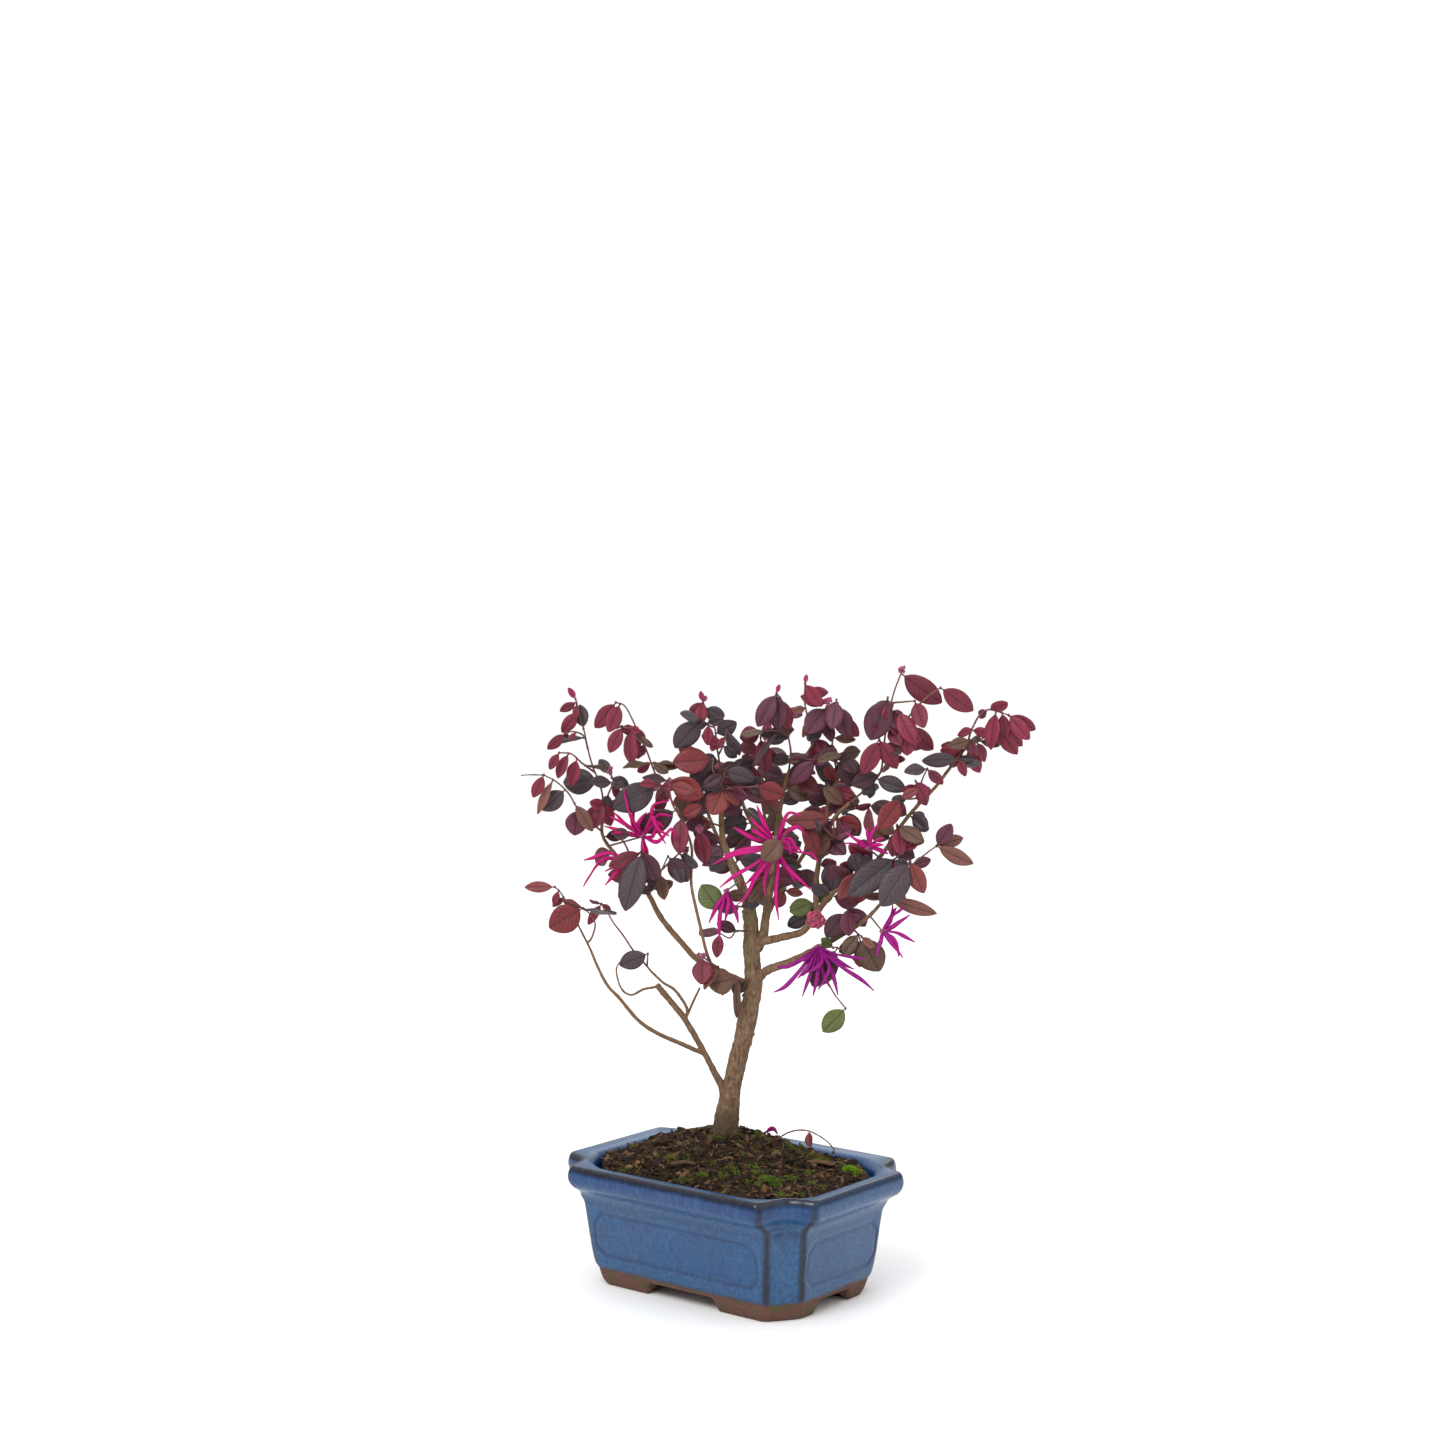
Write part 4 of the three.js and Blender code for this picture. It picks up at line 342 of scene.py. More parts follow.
    { "way": [[-9, 12, 191]], "leaves": [[1, 172, 17, "young", 0, 0, 6], [1, 198, 17, "tan", 0, 0, 6]] },
    { "at": 0.5, "way": [[-15, 10, 195], [-19, 8, 198]], "buds": 2,
      "leaves": [[0.9, 183, 15, "young", 0, 0, 11]] },
  ] },
  "trunk_upper": { "on": ["trunk", 11.2], "shoots": [
    { "way": [[3, 10, 228], [-3, 7, 229], [-8, 4, 226]], "leaves": [[1, 325, 17, "green", 0, 0, 13]] },
    { "at": 0.15, "way": [[12, 8, 242], [24, 8, 248]], "leaves": [[1, 222, 21, "olive", 0, 10, 6]] },
  ] },
  "trunk_left": { "on": ["trunk", 9.9], "shoots": [
    { "way": [[2, 10, 213], [-2, 9, 209], [-8, 8, 212]],
      "leaves": [[1, 190, 13, "young"], [1, 270, 15, "dusky", 75], [0.3, 290, 12, "dark"]] },
  ] },
  "upper_left_low": { "on": ["upper_left", 3.8], "shoots": [
    { "way": [[-14, 20, 277], [-20, 12, 275]], "buds": 3, "leaves": [[1, 173, 20, "young", 0, 0, 10]] },
  ] },
  "long_left_tip": { "on": ["long_left", 7], "shoots": [
    { "way": [[-91, -4, 216], [-96, -4, 226], [-99, -4, 232], [-103, -6, 239], [-106, -7, 242]],
      "leaves": [[1, 270, 16, "salmon", 0, 0, 6], [0.7, 228, 8, "young"], [0.85, 200, 8, "young"]] },
    { "at": 0.06, "way": [[-84, -8, 212], [-82, -9, 220], [-85, -9, 226], [-89, -12, 230]],
      "leaves": [[1, 240, 20, "red", 0, 0, 15], [1, 285, 12, "red"], [0.95, 100, 17, "mature", 50]] },
  ] },
  "middle_left_low_tip": { "on": ["middle_left_low", 4], "shoots": [
    { "way": [[-54, 6, 195], [-60, 6, 202], [-66, 6, 211], [-72, 6, 219], [-76, 6, 226], [-79, 6, 230]],
      "leaves": [[1, 215, 13, "young", 0, 0, 5], [1, 280, 7, "young"], [1, 130, 7, "young"]] },
    { "at": 0.08, "way": [[-51, -1, 201]], "leaves": [[1, 246, 17, "mature", 0, 0, 10]] },
  ] },
  "inner_small": { "on": ["upper_middle", 2.6], "shoots": [
    { "way": [[31, 14, 237]], "leaves": [[1, 200, 10, "red"], [1, 100, 10, "salmon"]] },
  ] },
  "centre_leaf": { "on": ["upper_middle", 4.6], "shoots": [
    { "way": [[28, 18, 266], [33, -2, 277], [29, -19, 272]], "leaves": [[1, 225, 15, "olive", 0, 0, 12]] },
  ] },
  "back_left_tip": { "on": ["back_left", 3], "shoots": [
    { "way": [[-19, 72, 294], [-18, 78, 310]],
      "leaves": [[1, 300, 16, "young", 160], [1, 190, 17, "mature", 150], [0.9, 95, 15, "young", 170],
        [0.7, 240, 18, "dark", 160], [0.5, 120, 16, "dusky", 190], [0.3, 260, 17, "red", 170]] },
    { "at": 0.15, "way": [[-30, 60, 292], [-40, 54, 300]],
      "leaves": [[1, 280, 14, "mature", 150], [1, 200, 16, "young", 160], [0.5, 180, 17, "olive", 170]] },
    { "at": 0.1, "way": [[-6, 66, 288]], "leaves": [[1, 80, 16, "dark", 160],
      [1, 140, 15, "mature", 170]] },
  ] },
  "back_right_tip": { "on": ["back_right", 3], "shoots": [
    { "way": [[62, 74, 290], [66, 80, 308]],
      "leaves": [[1, 330, 14, "young", 160], [1, 200, 17, "mature", 150], [0.9, 110, 15, "young", 170],
        [0.6, 250, 18, "dark", 160], [0.4, 100, 16, "dusky", 190]] },
    { "at": 0.1, "way": [[70, 64, 280], [84, 58, 284]],
      "leaves": [[1, 100, 16, "mature", 160], [1, 180, 17, "young", 150], [0.5, 150, 16, "olive", 170]] },
    { "at": 0.4, "way": [[50, 80, 292], [44, 80, 294]], "leaves": [[1, 290, 16, "red", 160],
      [1, 230, 14, "mature", 170]] },
  ] },
  "back_middle_tip": { "on": ["back_middle", 2], "shoots": [
    { "way": [[18, 68, 304], [20, 72, 322]],
      "leaves": [[1, 10, 12, "bud", 160], [1, 215, 17, "young", 150], [0.9, 120, 16, "mature", 170],
        [0.5, 270, 17, "dusky", 160], [0.3, 85, 16, "dark", 190]] },
    { "at": 0.3, "way": [[6, 64, 308]], "leaves": [[1, 260, 15, "mature", 150],
      [1, 190, 15, "young", 160]] },
  ] },
}

FLOWERS = {
  "flower_left": { "on": ["left_limb", 8.6], "centre": [-54, 0, 271], "petals": [
    [[-62, -2, 285], [-65, -4, 300]], [[-60, 2, 280], [-58, 4, 291]], [[-63, -2, 277], [-73, -4, 284]],
    [[-65, 2, 274], [-77, 4, 277]], [[-49, 0, 280], [-47, -2, 290], [-38, -3, 293]],
    [[-48, -3, 283], [-45, -4, 277], [-38, -4, 272]], [[-45, -6, 269], [-37, -7, 277], [-34, -7, 270]],
    [[-54, -3, 262], [-56, -4, 254]]] },
  "flower_left_low": { "on": ["left_limb", 7.2], "centre": [-64, -2, 259], "petals": [
    [[-77, -5, 258], [-84, -6, 250], [-89, -6, 242]], [[-67, -6, 254], [-71, -7, 249], [-76, -7, 243]],
    [[-60, -6, 252], [-62, -8, 245]]] },
  "flower_centre": { "on": ["upper_middle", 5.3], "centre": [25, -8, 268], "petals": [
    [[18, -10, 280], [14, -10, 291]], [[29, -9, 278], [33, -9, 286], [40, -9, 285]],
    [[17, -11, 276], [10, -12, 284]], [[11, -9, 272], [0, -9, 278]],
    [[15, -13, 265], [0, -13, 262], [-12, -12, 256]], [[15, -10, 258], [2, -10, 250], [-8, -10, 242]],
    [[20, -15, 258], [13, -15, 248], [8, -15, 238], [2, -14, 232]],
    [[26, -12, 256], [25, -12, 238], [27, -12, 223]], [[31, -13, 256], [38, -13, 248], [46, -12, 241]],
    [[36, -9, 263], [46, -9, 262], [50, -8, 257]], [[33, -12, 271], [38, -12, 264]]] },
  "flower_trunk": { "on": ["upper_left", 0.7], "centre": [-4, 6, 238], "petals": [
    [[-8, 2, 225], [-8, 0, 208]], [[-3, 0, 230], [-5, -2, 220]], [[1, 2, 228], [3, 2, 219]]] },
  "flower_low": { "on": ["right_low", 3.9], "centre": [50, -14, 206], "petals": [
    [[40, -16, 195], [31, -15, 184], [24, -14, 180]], [[44, -18, 196], [38, -18, 189]],
    [[46, -17, 194], [41, -16, 178]], [[50, -18, 192], [47, -19, 179]], [[57, -20, 196], [50, -21, 183]],
    [[58, -17, 193], [62, -17, 179]], [[62, -20, 198], [74, -21, 190], [83, -20, 182]]] },
  "flower_right": { "on": ["right_low", 7], "centre": [88, -18, 217], "petals": [
    [[94, -20, 226], [101, -20, 232]], [[96, -18, 221], [104, -18, 227]], [[97, -20, 216], [107, -20, 211]],
    [[94, -21, 210], [100, -22, 202]], [[86, -22, 209], [84, -22, 203]]] },
  "flower_right_high": { "on": ["right_high", 7.7], "centre": [80, -6, 265], "petals": [
    [[82, -8, 273], [86, -8, 280]], [[84, -9, 269], [89, -10, 272]], [[87, -8, 264], [92, -8, 262]],
    [[74, -8, 270], [66, -8, 275]]] },
}


def turned(point):
    """From the tree's own directions to the pot's."""
    cosine, sine = math.cos(TREE_TURN), math.sin(TREE_TURN)
    return Vector((point[0] * cosine - point[1] * sine, point[0] * sine + point[1] * cosine, point[2]))


def spline(points, t):
    """A point of the smooth curve through the points, t from 0 to 1."""
    place = t * (len(points) - 1)
    low = min(int(place), len(points) - 2)
    f = place - low
    p1, p2 = points[low], points[low + 1]
    p0 = points[low - 1] if low > 0 else p1 * 2 - p2
    p3 = points[low + 2] if low + 2 < len(points) else p2 * 2 - p1
    m1, m2 = (p2 - p0) / 2, (p3 - p1) / 2
    return (p1 * (2 * f**3 - 3 * f**2 + 1) + m1 * (f**3 - 2 * f**2 + f)
            + p2 * (3 * f**2 - 2 * f**3) + m2 * (f**3 - f**2))


def spread(values, t):
    """Values spread evenly along 0 to 1, read at t."""
    if not isinstance(values, (list, tuple)):
        return values
    place = t * (len(values) - 1)
    low = min(int(place), len(values) - 2)
    return values[low] + (values[low + 1] - values[low]) * (place - low)


def smooth_step(low, high, value):
    t = min(1, max(0, (value - low) / (high - low)))
    return t * t * (3 - 2 * t)


def rumple(point, size, seed=0.0):
    """Smooth noise from -1 to 1 with lumps about size mm across."""
    return noise.noise(Vector((point[0] / size + seed, point[1] / size - seed, point[2] / size + 2 * seed)))


class Skin:
    """Collects points and faces of one piece, with a colour or two numbers for each point."""

    def __init__(self):
        self.points = []
        self.faces = []
        self.tints = []
        self.marks = []

    def add(self, point, tint=(1, 1, 1), mark=(0, 0, 0)):
        self.points.append(point)
        self.tints.append(tint)
        self.marks.append(mark)
        return len(self.points) - 1

    def ring_faces(self, rings, closed=True):
        for lower, upper in zip(rings, rings[1:]):
            count = max(len(lower), len(upper))
            for k in range(count if closed else count - 1):
                n = (k + 1) % count
                if len(lower) == 1:
                    self.faces.append((lower[0], upper[n], upper[k]))
                elif len(upper) == 1:
                    self.faces.append((lower[k], lower[n], upper[0]))
                else:
                    self.faces.append((lower[k], lower[n], upper[n], upper[k]))

    def tube(self, points, radii, sides, tint=(1, 1, 1), mark=(0, 0, 0), wobble=0, step=None):
        """A tapering round stem with closed ends."""
        steps = step or len(points) - 1
        across = Vector((0.3, 1, 0.2))
        first = spline(points, 0)
        rings = [[self.add(first, tint, mark)]]
        for i in range(steps + 1):
            t = i / steps
            centre = spline(points, t)
            along = (spline(points, min(1, t + 0.01)) - spline(points, max(0, t - 0.01))).normalized()
            across = (across - along * across.dot(along)).normalized()
            other = along.cross(across)
            radius = spread(radii, t)
            ring = []
            for k in range(sides):
                angle = 2 * math.pi * k / sides
                out = across * math.cos(angle) + other * math.sin(angle)
                grow = radius * (1 + wobble * rumple(centre + out * radius, 2.5 * radius + 1))
                ring.append(self.add(centre + out * grow, tint, mark))
            rings.append(ring)
        rings.append([self.add(spline(points, 1), tint, mark)])
        self.ring_faces(rings)

    def ball(self, centre, radius, tint=(1, 1, 1), mark=(0, 0, 0), stretch=(1, 1, 1), wobble=0, rows=7):
        sides = 2 * rows
        rings = [[self.add(centre - Vector((0, 0, radius * stretch[2])), tint, mark)]]
        for row in range(1, rows):
            polar = math.pi * row / rows
            ring = []
            for k in range(sides):
                angle = 2 * math.pi * k / sides
                out = Vector((math.sin(polar) * math.cos(angle), math.sin(polar) * math.sin(angle),
                              -math.cos(polar)))
                grow = radius * (1 + wobble * rumple(centre + out * radius, radius))
                offset = Vector([o * grow * s for o, s in zip(out, stretch)])
                ring.append(self.add(centre + offset, tint, mark))
            rings.append(ring)
        rings.append([self.add(centre + Vector((0, 0, radius * stretch[2])), tint, mark)])
        self.ring_faces(rings)

    def build(self, name, material, slot, nodes, of_tree=False, flat=False):
        """Makes the piece in the row's frame, in metres, hangs it under the root body and hides the CAD
        nodes it stands for.
        """
        mesh = bpy.data.meshes.new(name)
        place = turned if of_tree else Vector
        mesh.from_pydata([(place(p) + POT_CENTRE) * MM for p in self.points], [], self.faces)
        mesh.validate()
        bm = bmesh.new()
        bm.from_mesh(mesh)
        bmesh.ops.recalc_face_normals(bm, faces=bm.faces)
        bm.to_mesh(mesh)
        bm.free()
        tints = mesh.attributes.new("tint", "FLOAT_COLOR", "POINT")
        tints.data.foreach_set("color", [c for t in self.tints for c in (*t, 1)])
        marks = mesh.attributes.new("mark", "FLOAT_VECTOR", "POINT")
        marks.data.foreach_set("vector", [c for m in self.marks for c in m])
        mesh.polygons.foreach_set("use_smooth", [not flat] * len(mesh.polygons))
        piece = bpy.data.objects.new(name, mesh)
        bpy.context.scene.collection.objects.link(piece)
        mesh.materials.append(material)
        return declare(piece, nodes)


def declare(piece, nodes):
    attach(piece, "root")
    if nodes:
        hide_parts(*nodes)
    return piece


# ------------------------------------------------------------ where shoots, petals and leaves end up
RODS = []


def add_rods(points, radius, owner):
    for a, b in zip(points, points[1:]):
        RODS.append((a, b, radius, owner, (a + b) / 2, (b - a).length / 2 + radius))


def gap_between(a, b, c, d):
    """Shortest distance between the straight lines a-b and c-d."""
    u, v, w = b - a, d - c, a - c
    uu, vv, uv = max(u.dot(u), 1e-9), max(v.dot(v), 1e-9), u.dot(v)
    uw, vw = u.dot(w), v.dot(w)
    across = uu * vv - uv * uv
    s = min(1, max(0, (uv * vw - vv * uw) / across)) if across > 1e-9 else 0
    t = min(1, max(0, (uv * s + vw) / vv))
    s = min(1, max(0, (uv * t - uw) / uu))
    return (w + u * s - v * t).length


def way_is_clear(points, radius, owner, parent, room):
    for i, (start, end) in enumerate(zip(points, points[1:])):
        middle, reach = (start + end) / 2, (end - start).length / 2 + radius + room
        for a, b, rod_radius, rod_owner, rod_middle, rod_reach in RODS:
            if rod_owner == owner or (i == 0 and rod_owner == parent):
                continue
            if (middle - rod_middle).length > reach + rod_reach:
                continue
            if gap_between(start, end, a, b) < radius + rod_radius + room:
                return False
    return True


def settled_way(points, radius, owner, parent, room):
    """Leans a way forwards or backwards until it clears everything already there."""
    for lean in (0, -2, 2, -4, 4, -6, 6, -9, 9, -12, 12, -16, 16):
        last = len(points) - 1
        tried = [p + Vector((0, lean * min(1, 1.5 * i / last), 0)) for i, p in enumerate(points)]
        if way_is_clear(tried, radius, owner, parent, room):
            return tried
    raise ValueError("no clear way for " + owner)


def on_branch(name, knot, towards, radius):
    """The first point of a shoot, its end just clear of the bark."""
    points = WOOD[name]["points"]
    count = len(points) - 1
    low = min(int(knot), count - 1)
    centre = points[low].lerp(points[low + 1], knot - low)
    along = (points[low + 1] - points[low]).normalized()
    branch_radius = spread(WOOD[name]["radii"], knot / count)
    direction = (towards - centre).normalized()
    cosine = abs(direction.dot(along))
    sine = math.sqrt(1 - cosine * cosine)
    if knot >= count:
        away = CLEARANCE + (branch_radius + radius) * sine
    else:
        away = (branch_radius + CLEARANCE + 0.2 + radius * cosine) / max(sine, 0.35)
    return centre + direction * away


def place_along(points, share):
    place = share * (len(points) - 1)
    low = min(int(place), len(points) - 2)
    return points[low].lerp(points[low + 1], place - low)


LEAF_WIDTH = {"young": 0.5, "mature": 0.6, "dark": 0.55, "dusky": 0.6, "tan": 0.4, "olive": 0.55, "red": 0.6,
              "salmon": 0.5, "green": 0.7, "bud": 0.5}
SMALL_TURNS = [(heading, lean, face) for heading in (0, 8, -8, 16, -16, 26, -26)
               for lean in (0, 14, -14, 28, -28, 42, -42) for face in (0, 30, -30, 60)]
SMALL_TURNS.sort(key=lambda turn: abs(turn[0]) * 3 + abs(turn[1]) * 1.5 + abs(turn[2]))


class Leaf:
    def __init__(self, root, heading, lean, face, length, width, sway):
        h, l, f = math.radians(heading), math.radians(lean), math.radians(face)
        self.root, self.length, self.half_width = root, length, width / 2
        self.direction = Vector((math.sin(h) * math.cos(l), -math.sin(l), math.cos(h) * math.cos(l)))
        out = Vector((0, -1, 0))
        out = (out - self.direction * out.dot(self.direction)).normalized()
        self.out = out * math.cos(f) + self.direction.cross(out) * math.sin(f)
        self.across = self.direction.cross(self.out)
        self.fold = 0.12 + 0.08 * sway
        self.droop = 0.1 + 0.08 * sway

    def tip(self):
        return self.root + self.direction * self.length - self.out * (self.droop * self.length)


def settled_leaf(root, row, count, tips):
    """Of the small turns a leaf may have taken, the one whose tip is nearest to where a frame leaf ends."""
    heading, length, kind = row[1:4]
    face, lean, width = (list(row[4:]) + [0, 0, 0])[:3]
    width = width or length * LEAF_WIDTH[kind]
    sway = math.sin(2.4 * count + length)
    best, nearest = None, None
    for share in (1, 0.88, 0.76, 0.62):
        for more_heading, more_lean, more_face in SMALL_TURNS:
            leaf = Leaf(root, heading + more_heading, lean + 14 * sway + more_lean,
                        face + 16 * math.cos(3.7 * count) + more_face, length * share, width * share, sway)
            leaf.kind, leaf.seed = kind, count * 1.7 + length
            gap = tips.find(leaf.tip())[2]
            if gap < 0.02:
                return leaf
            if nearest is None or gap < nearest:
                best, nearest = leaf, gap
    return best


def node_points(name):
    """The corners of one CAD node, in the tree's own directions, ready to be looked up."""
    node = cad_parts[name]
    corners = [node.matrix_world @ v.co / MM - POT_CENTRE for v in node.data.vertices]
    cosine, sine = math.cos(-TREE_TURN), math.sin(-TREE_TURN)
    tree = KDTree(len(corners))
    for i, c in enumerate(corners):
        tree.insert((c.x * cosine - c.y * sine, c.x * sine + c.y * cosine, c.z), i)
    tree.balance()
    return tree


for name, branch in WOOD.items():
    branch["points"] = [Vector(p) for p in branch["way"]]
    if name == "trunk":
        branch["radii"] = [r * TRUNK_RADIUS for r in branch["radii"]]
    count = len(branch["points"]) - 1
    for i in range(count):
        radius = max(spread(branch["radii"], i / count), spread(branch["radii"], (i + 1) / count))
        add_rods(branch["points"][i:i + 2], radius, name)

for name, spray in SPRAYS.items():
    for shoot in spray["shoots"]:
        rest = [Vector(p) for p in shoot["way"]]
        if "at" in shoot:
            first, parent = place_along(spray["shoots"][0]["points"], shoot["at"]), ""
        else:
            first, parent = on_branch(*spray["on"], rest[0], SHOOT_RADIUS), spray["on"][0]
        shoot["points"] = settled_way([first] + rest, SHOOT_RADIUS, name, parent, 0.6)
        add_rods(shoot["points"], SHOOT_RADIUS, name)

for name, flower in FLOWERS.items():
    centre = Vector(flower["centre"])
    start = on_branch(*flower["on"], centre, SHOOT_RADIUS)
    route = [start, start.lerp(centre, 0.5), centre]
    flower["stalk"] = settled_way(route, SHOOT_RADIUS, name, flower["on"][0], 0.8)
    heart = flower["heart"] = flower["stalk"][2]
    add_rods(flower["stalk"], SHOOT_RADIUS, name)
    add_rods([heart, heart + Vector((0, 0, 0.5))], HEART_RADIUS, name)
    flower["ways"] = []
    for petal in flower["petals"]:
        route = [heart] + [Vector(p) for p in petal]
        steps = 2 * len(petal)
        dense = [spline(route, i / steps) for i in range(steps + 1)]
        flower["ways"].append(settled_way(dense, PETAL_WIDTH / 2, name, "", 0.5))
    for way in flower["ways"]:
        add_rods(way, PETAL_WIDTH / 2, name)


# ------------------------------------------------------------ materials
# Each point stores three numbers called mark. On the pot: how thin the glaze runs, bare clay, how deep the
# glaze pools (kept lighter on the short sides as painted light). On the wood: algae, darker towards the
# soil, young bark. On leaves and petals: along, across, which one it is.
def linear(colour):
    """An sRGB hex colour as linear red, green, blue."""
    parts = [int(colour[i:i + 2], 16) / 255 for i in (1, 3, 5)]
    return tuple(c / 12.92 if c <= 0.04045 else ((c + 0.055) / 1.055) ** 2.4 for c in parts)


class Recipe:
    """One procedural material; add() puts in a node with its settings and links."""

    def __init__(self, name):
        self.material = bpy.data.materials.new(name)
        self.material.use_nodes = True
        self.tree = self.material.node_tree
        self.tree.nodes.clear()
        self.output = self.tree.nodes.new("ShaderNodeOutputMaterial")

    def add(self, kind, inputs=None, **settings):
        node = self.tree.nodes.new("ShaderNode" + kind)
        for key, value in settings.items():
            setattr(node, key, value)
        for key, value in (inputs or {}).items():
            socket = node.inputs[key]
            if isinstance(value, bpy.types.NodeSocket):
                self.tree.links.new(value, socket)
            elif isinstance(value, str):
                socket.default_value = (*linear(value), 1)
            else:
                socket.default_value = value
        return node

    def noise(self, scale_mm, detail=4, roughness=0.55, stretch=None, distortion=0):
        """Noise with features about scale_mm across; stretch squeezes it along an axis."""
        place = self.add("TexCoord").outputs["Object"]
        if stretch:
            place = self.add("Mapping", {"Vector": place, "Scale": stretch}).outputs["Vector"]
        made = self.add("TexNoise", {"Vector": place, "Scale": 1 / (scale_mm * MM), "Detail": detail,
                                     "Roughness": roughness, "Distortion": distortion})
        return made.outputs["Fac"]

    def cells(self, scale_mm, feature="F1"):
        place = self.add("TexCoord").outputs["Object"]
        inputs = {"Vector": place, "Scale": 1 / (scale_mm * MM)}
        return self.add("TexVoronoi", inputs, feature=feature).outputs

    def ramp(self, value, stops):
        """Colours or greys spread over a value: stops are (place, hex) or (place, grey)."""
        node = self.add("ValToRGB", {"Fac": value})
        band = node.color_ramp
        while len(band.elements) < len(stops):
            band.elements.new(1)
        for element, (place, shade) in zip(band.elements, stops):
            element.position = place
            element.color = (*linear(shade), 1) if isinstance(shade, str) else (shade, shade, shade, 1)
        return node.outputs["Color"]

    def mix(self, share, one, two, way="MIX"):
        node = self.add("Mix", data_type="RGBA", blend_type=way)
        for index, value in ((0, share), (6, one), (7, two)):
            socket = node.inputs[index]
            if isinstance(value, bpy.types.NodeSocket):
                self.tree.links.new(value, socket)
            elif isinstance(value, str):
                socket.default_value = (*linear(value), 1)
            else:
                socket.default_value = value
        return node.outputs[2]

    def sum(self, way, *values):
        node = self.add("Math", dict(enumerate(values)), operation=way)
        return node.outputs[0]

    def mark(self):
        """The three numbers stored with each point."""
        stored = self.add("Attribute", attribute_name="mark").outputs["Vector"]
        return self.add("SeparateXYZ", {"Vector": stored}).outputs

    def tint(self):
        return self.add("Attribute", attribute_name="tint").outputs["Color"]

    def bump(self, height, depth_mm, normal=None):
        inputs = {"Height": height, "Distance": depth_mm * MM, "Strength": 1.0}
        if normal:
            inputs["Normal"] = normal
        return self.add("Bump", inputs).outputs["Normal"]

    def finish(self, **inputs):
        names = {key: key.replace("_", " ") for key in inputs}
        made = self.add("BsdfPrincipled", {names[key]: value for key, value in inputs.items()})
        self.tree.links.new(made.outputs["BSDF"], self.output.inputs["Surface"])
        return self.material


def glaze():
    # Stoneware under a thick blue ash glaze: it pools darker and breaks brown where it runs thin.
    r = Recipe("blue_ash_glaze")
    thin, clay, pool = r.mark()
    fine = r.noise(0.7, 3, 0.7)
    mottle = r.noise(2.4, 5, 0.65)
    cloud = r.noise(22, 3, 0.5)
    streak = r.noise(3.2, 4, 0.6, stretch=(1, 1, 0.22))
    blue = r.ramp(cloud, [(0.32, "#184c7c"), (0.5, "#1b4676"), (0.68, "#22456f")])
    blue = r.mix(r.ramp(mottle, [(0.35, 0.0), (0.7, 0.55)]), blue, "#44779c")
    blue = r.mix(r.ramp(fine, [(0.4, 0.0), (0.7, 0.75)]), blue, "#152d52")
    deep = r.sum("MULTIPLY", pool, r.ramp(streak, [(0.3, 0.25), (0.65, 1.0)]))
    blue = r.mix(deep, blue, "#042f63")
    edge = r.sum("MULTIPLY", thin, r.ramp(mottle, [(0.25, 0.6), (0.6, 1.0)]))
    blue = r.mix(edge, blue, "#120a0b")
    pits = r.ramp(r.cells(5.5)["Distance"], [(0.0, 1.0), (0.045, 0.0)])
    blue = r.mix(r.sum("MULTIPLY", pits, 0.8), blue, "#141414")
    brown = r.mix(r.ramp(r.noise(1.2, 4), [(0.35, 0.0), (0.7, 1.0)]), "#6b463b", "#4c3029")
    brown = r.mix(r.ramp(r.noise(9, 4, 0.7), [(0.52, 0.0), (0.6, 0.85)]), brown, "#464a22")
    bare = r.ramp(r.sum("ADD", clay, r.sum("MULTIPLY", r.sum("SUBTRACT", mottle, 0.5), 0.35)),
                  [(0.48, 0.0), (0.52, 1.0)])
    height = r.sum("ADD", r.sum("MULTIPLY", mottle, 0.5), r.sum("MULTIPLY", r.noise(8, 2), 0.9))
    return r.finish(
        Base_Color=r.mix(bare, blue, brown),
        Roughness=r.ramp(bare, [(0.0, 0.24), (1.0, 0.75)]),
        Specular_IOR_Level=0.42,
        Normal=r.bump(height, 0.12))


def soil_matter():
    # Damp peat and composted bark, dull brown crumbs on top. The low spots of the same noise that makes the
    # bump are painted nearly black: painted shade in the gaps, over the peat's own dark brown.
    r = Recipe("damp_peat_soil")
    grain = r.noise(1.6, 6, 0.7)
    colour = r.ramp(grain, [(0.3, "#0d0906"), (0.5, "#231810"), (0.68, "#3d2b1d")])
    colour = r.mix(r.ramp(r.noise(7, 4, 0.65), [(0.55, 0.0), (0.66, 0.55)]), colour, "#3c4018")
    return r.finish(Base_Color=colour, Roughness=0.95, Specular_IOR_Level=0.2, Normal=r.bump(grain, 0.7))


def crumbs():
    # Chips of composted bark and rootlets, each its own brown, dry on top.
    r = Recipe("bark_crumbs")
    grain = r.noise(0.8, 4, 0.7)
    colour = r.mix(r.ramp(grain, [(0.3, 0.0), (0.7, 0.7)]), r.tint(), "#1b120c")
    return r.finish(Base_Color=colour, Roughness=0.9, Specular_IOR_Level=0.25, Normal=r.bump(grain, 0.25))


def moss_matter():
    # Living moss: soft yellow-green leaflets that let some light through.
    r = Recipe("living_moss")
    colour = r.mix(r.ramp(r.noise(2.5, 3), [(0.35, 0.0), (0.7, 0.6)]), r.tint(), "#33430f")
    return r.finish(Base_Color=colour, Roughness=0.8, Subsurface_Weight=0.2,
                    Subsurface_Radius=(0.4, 1.0, 0.2), Subsurface_Scale=MM, Specular_IOR_Level=0.25)


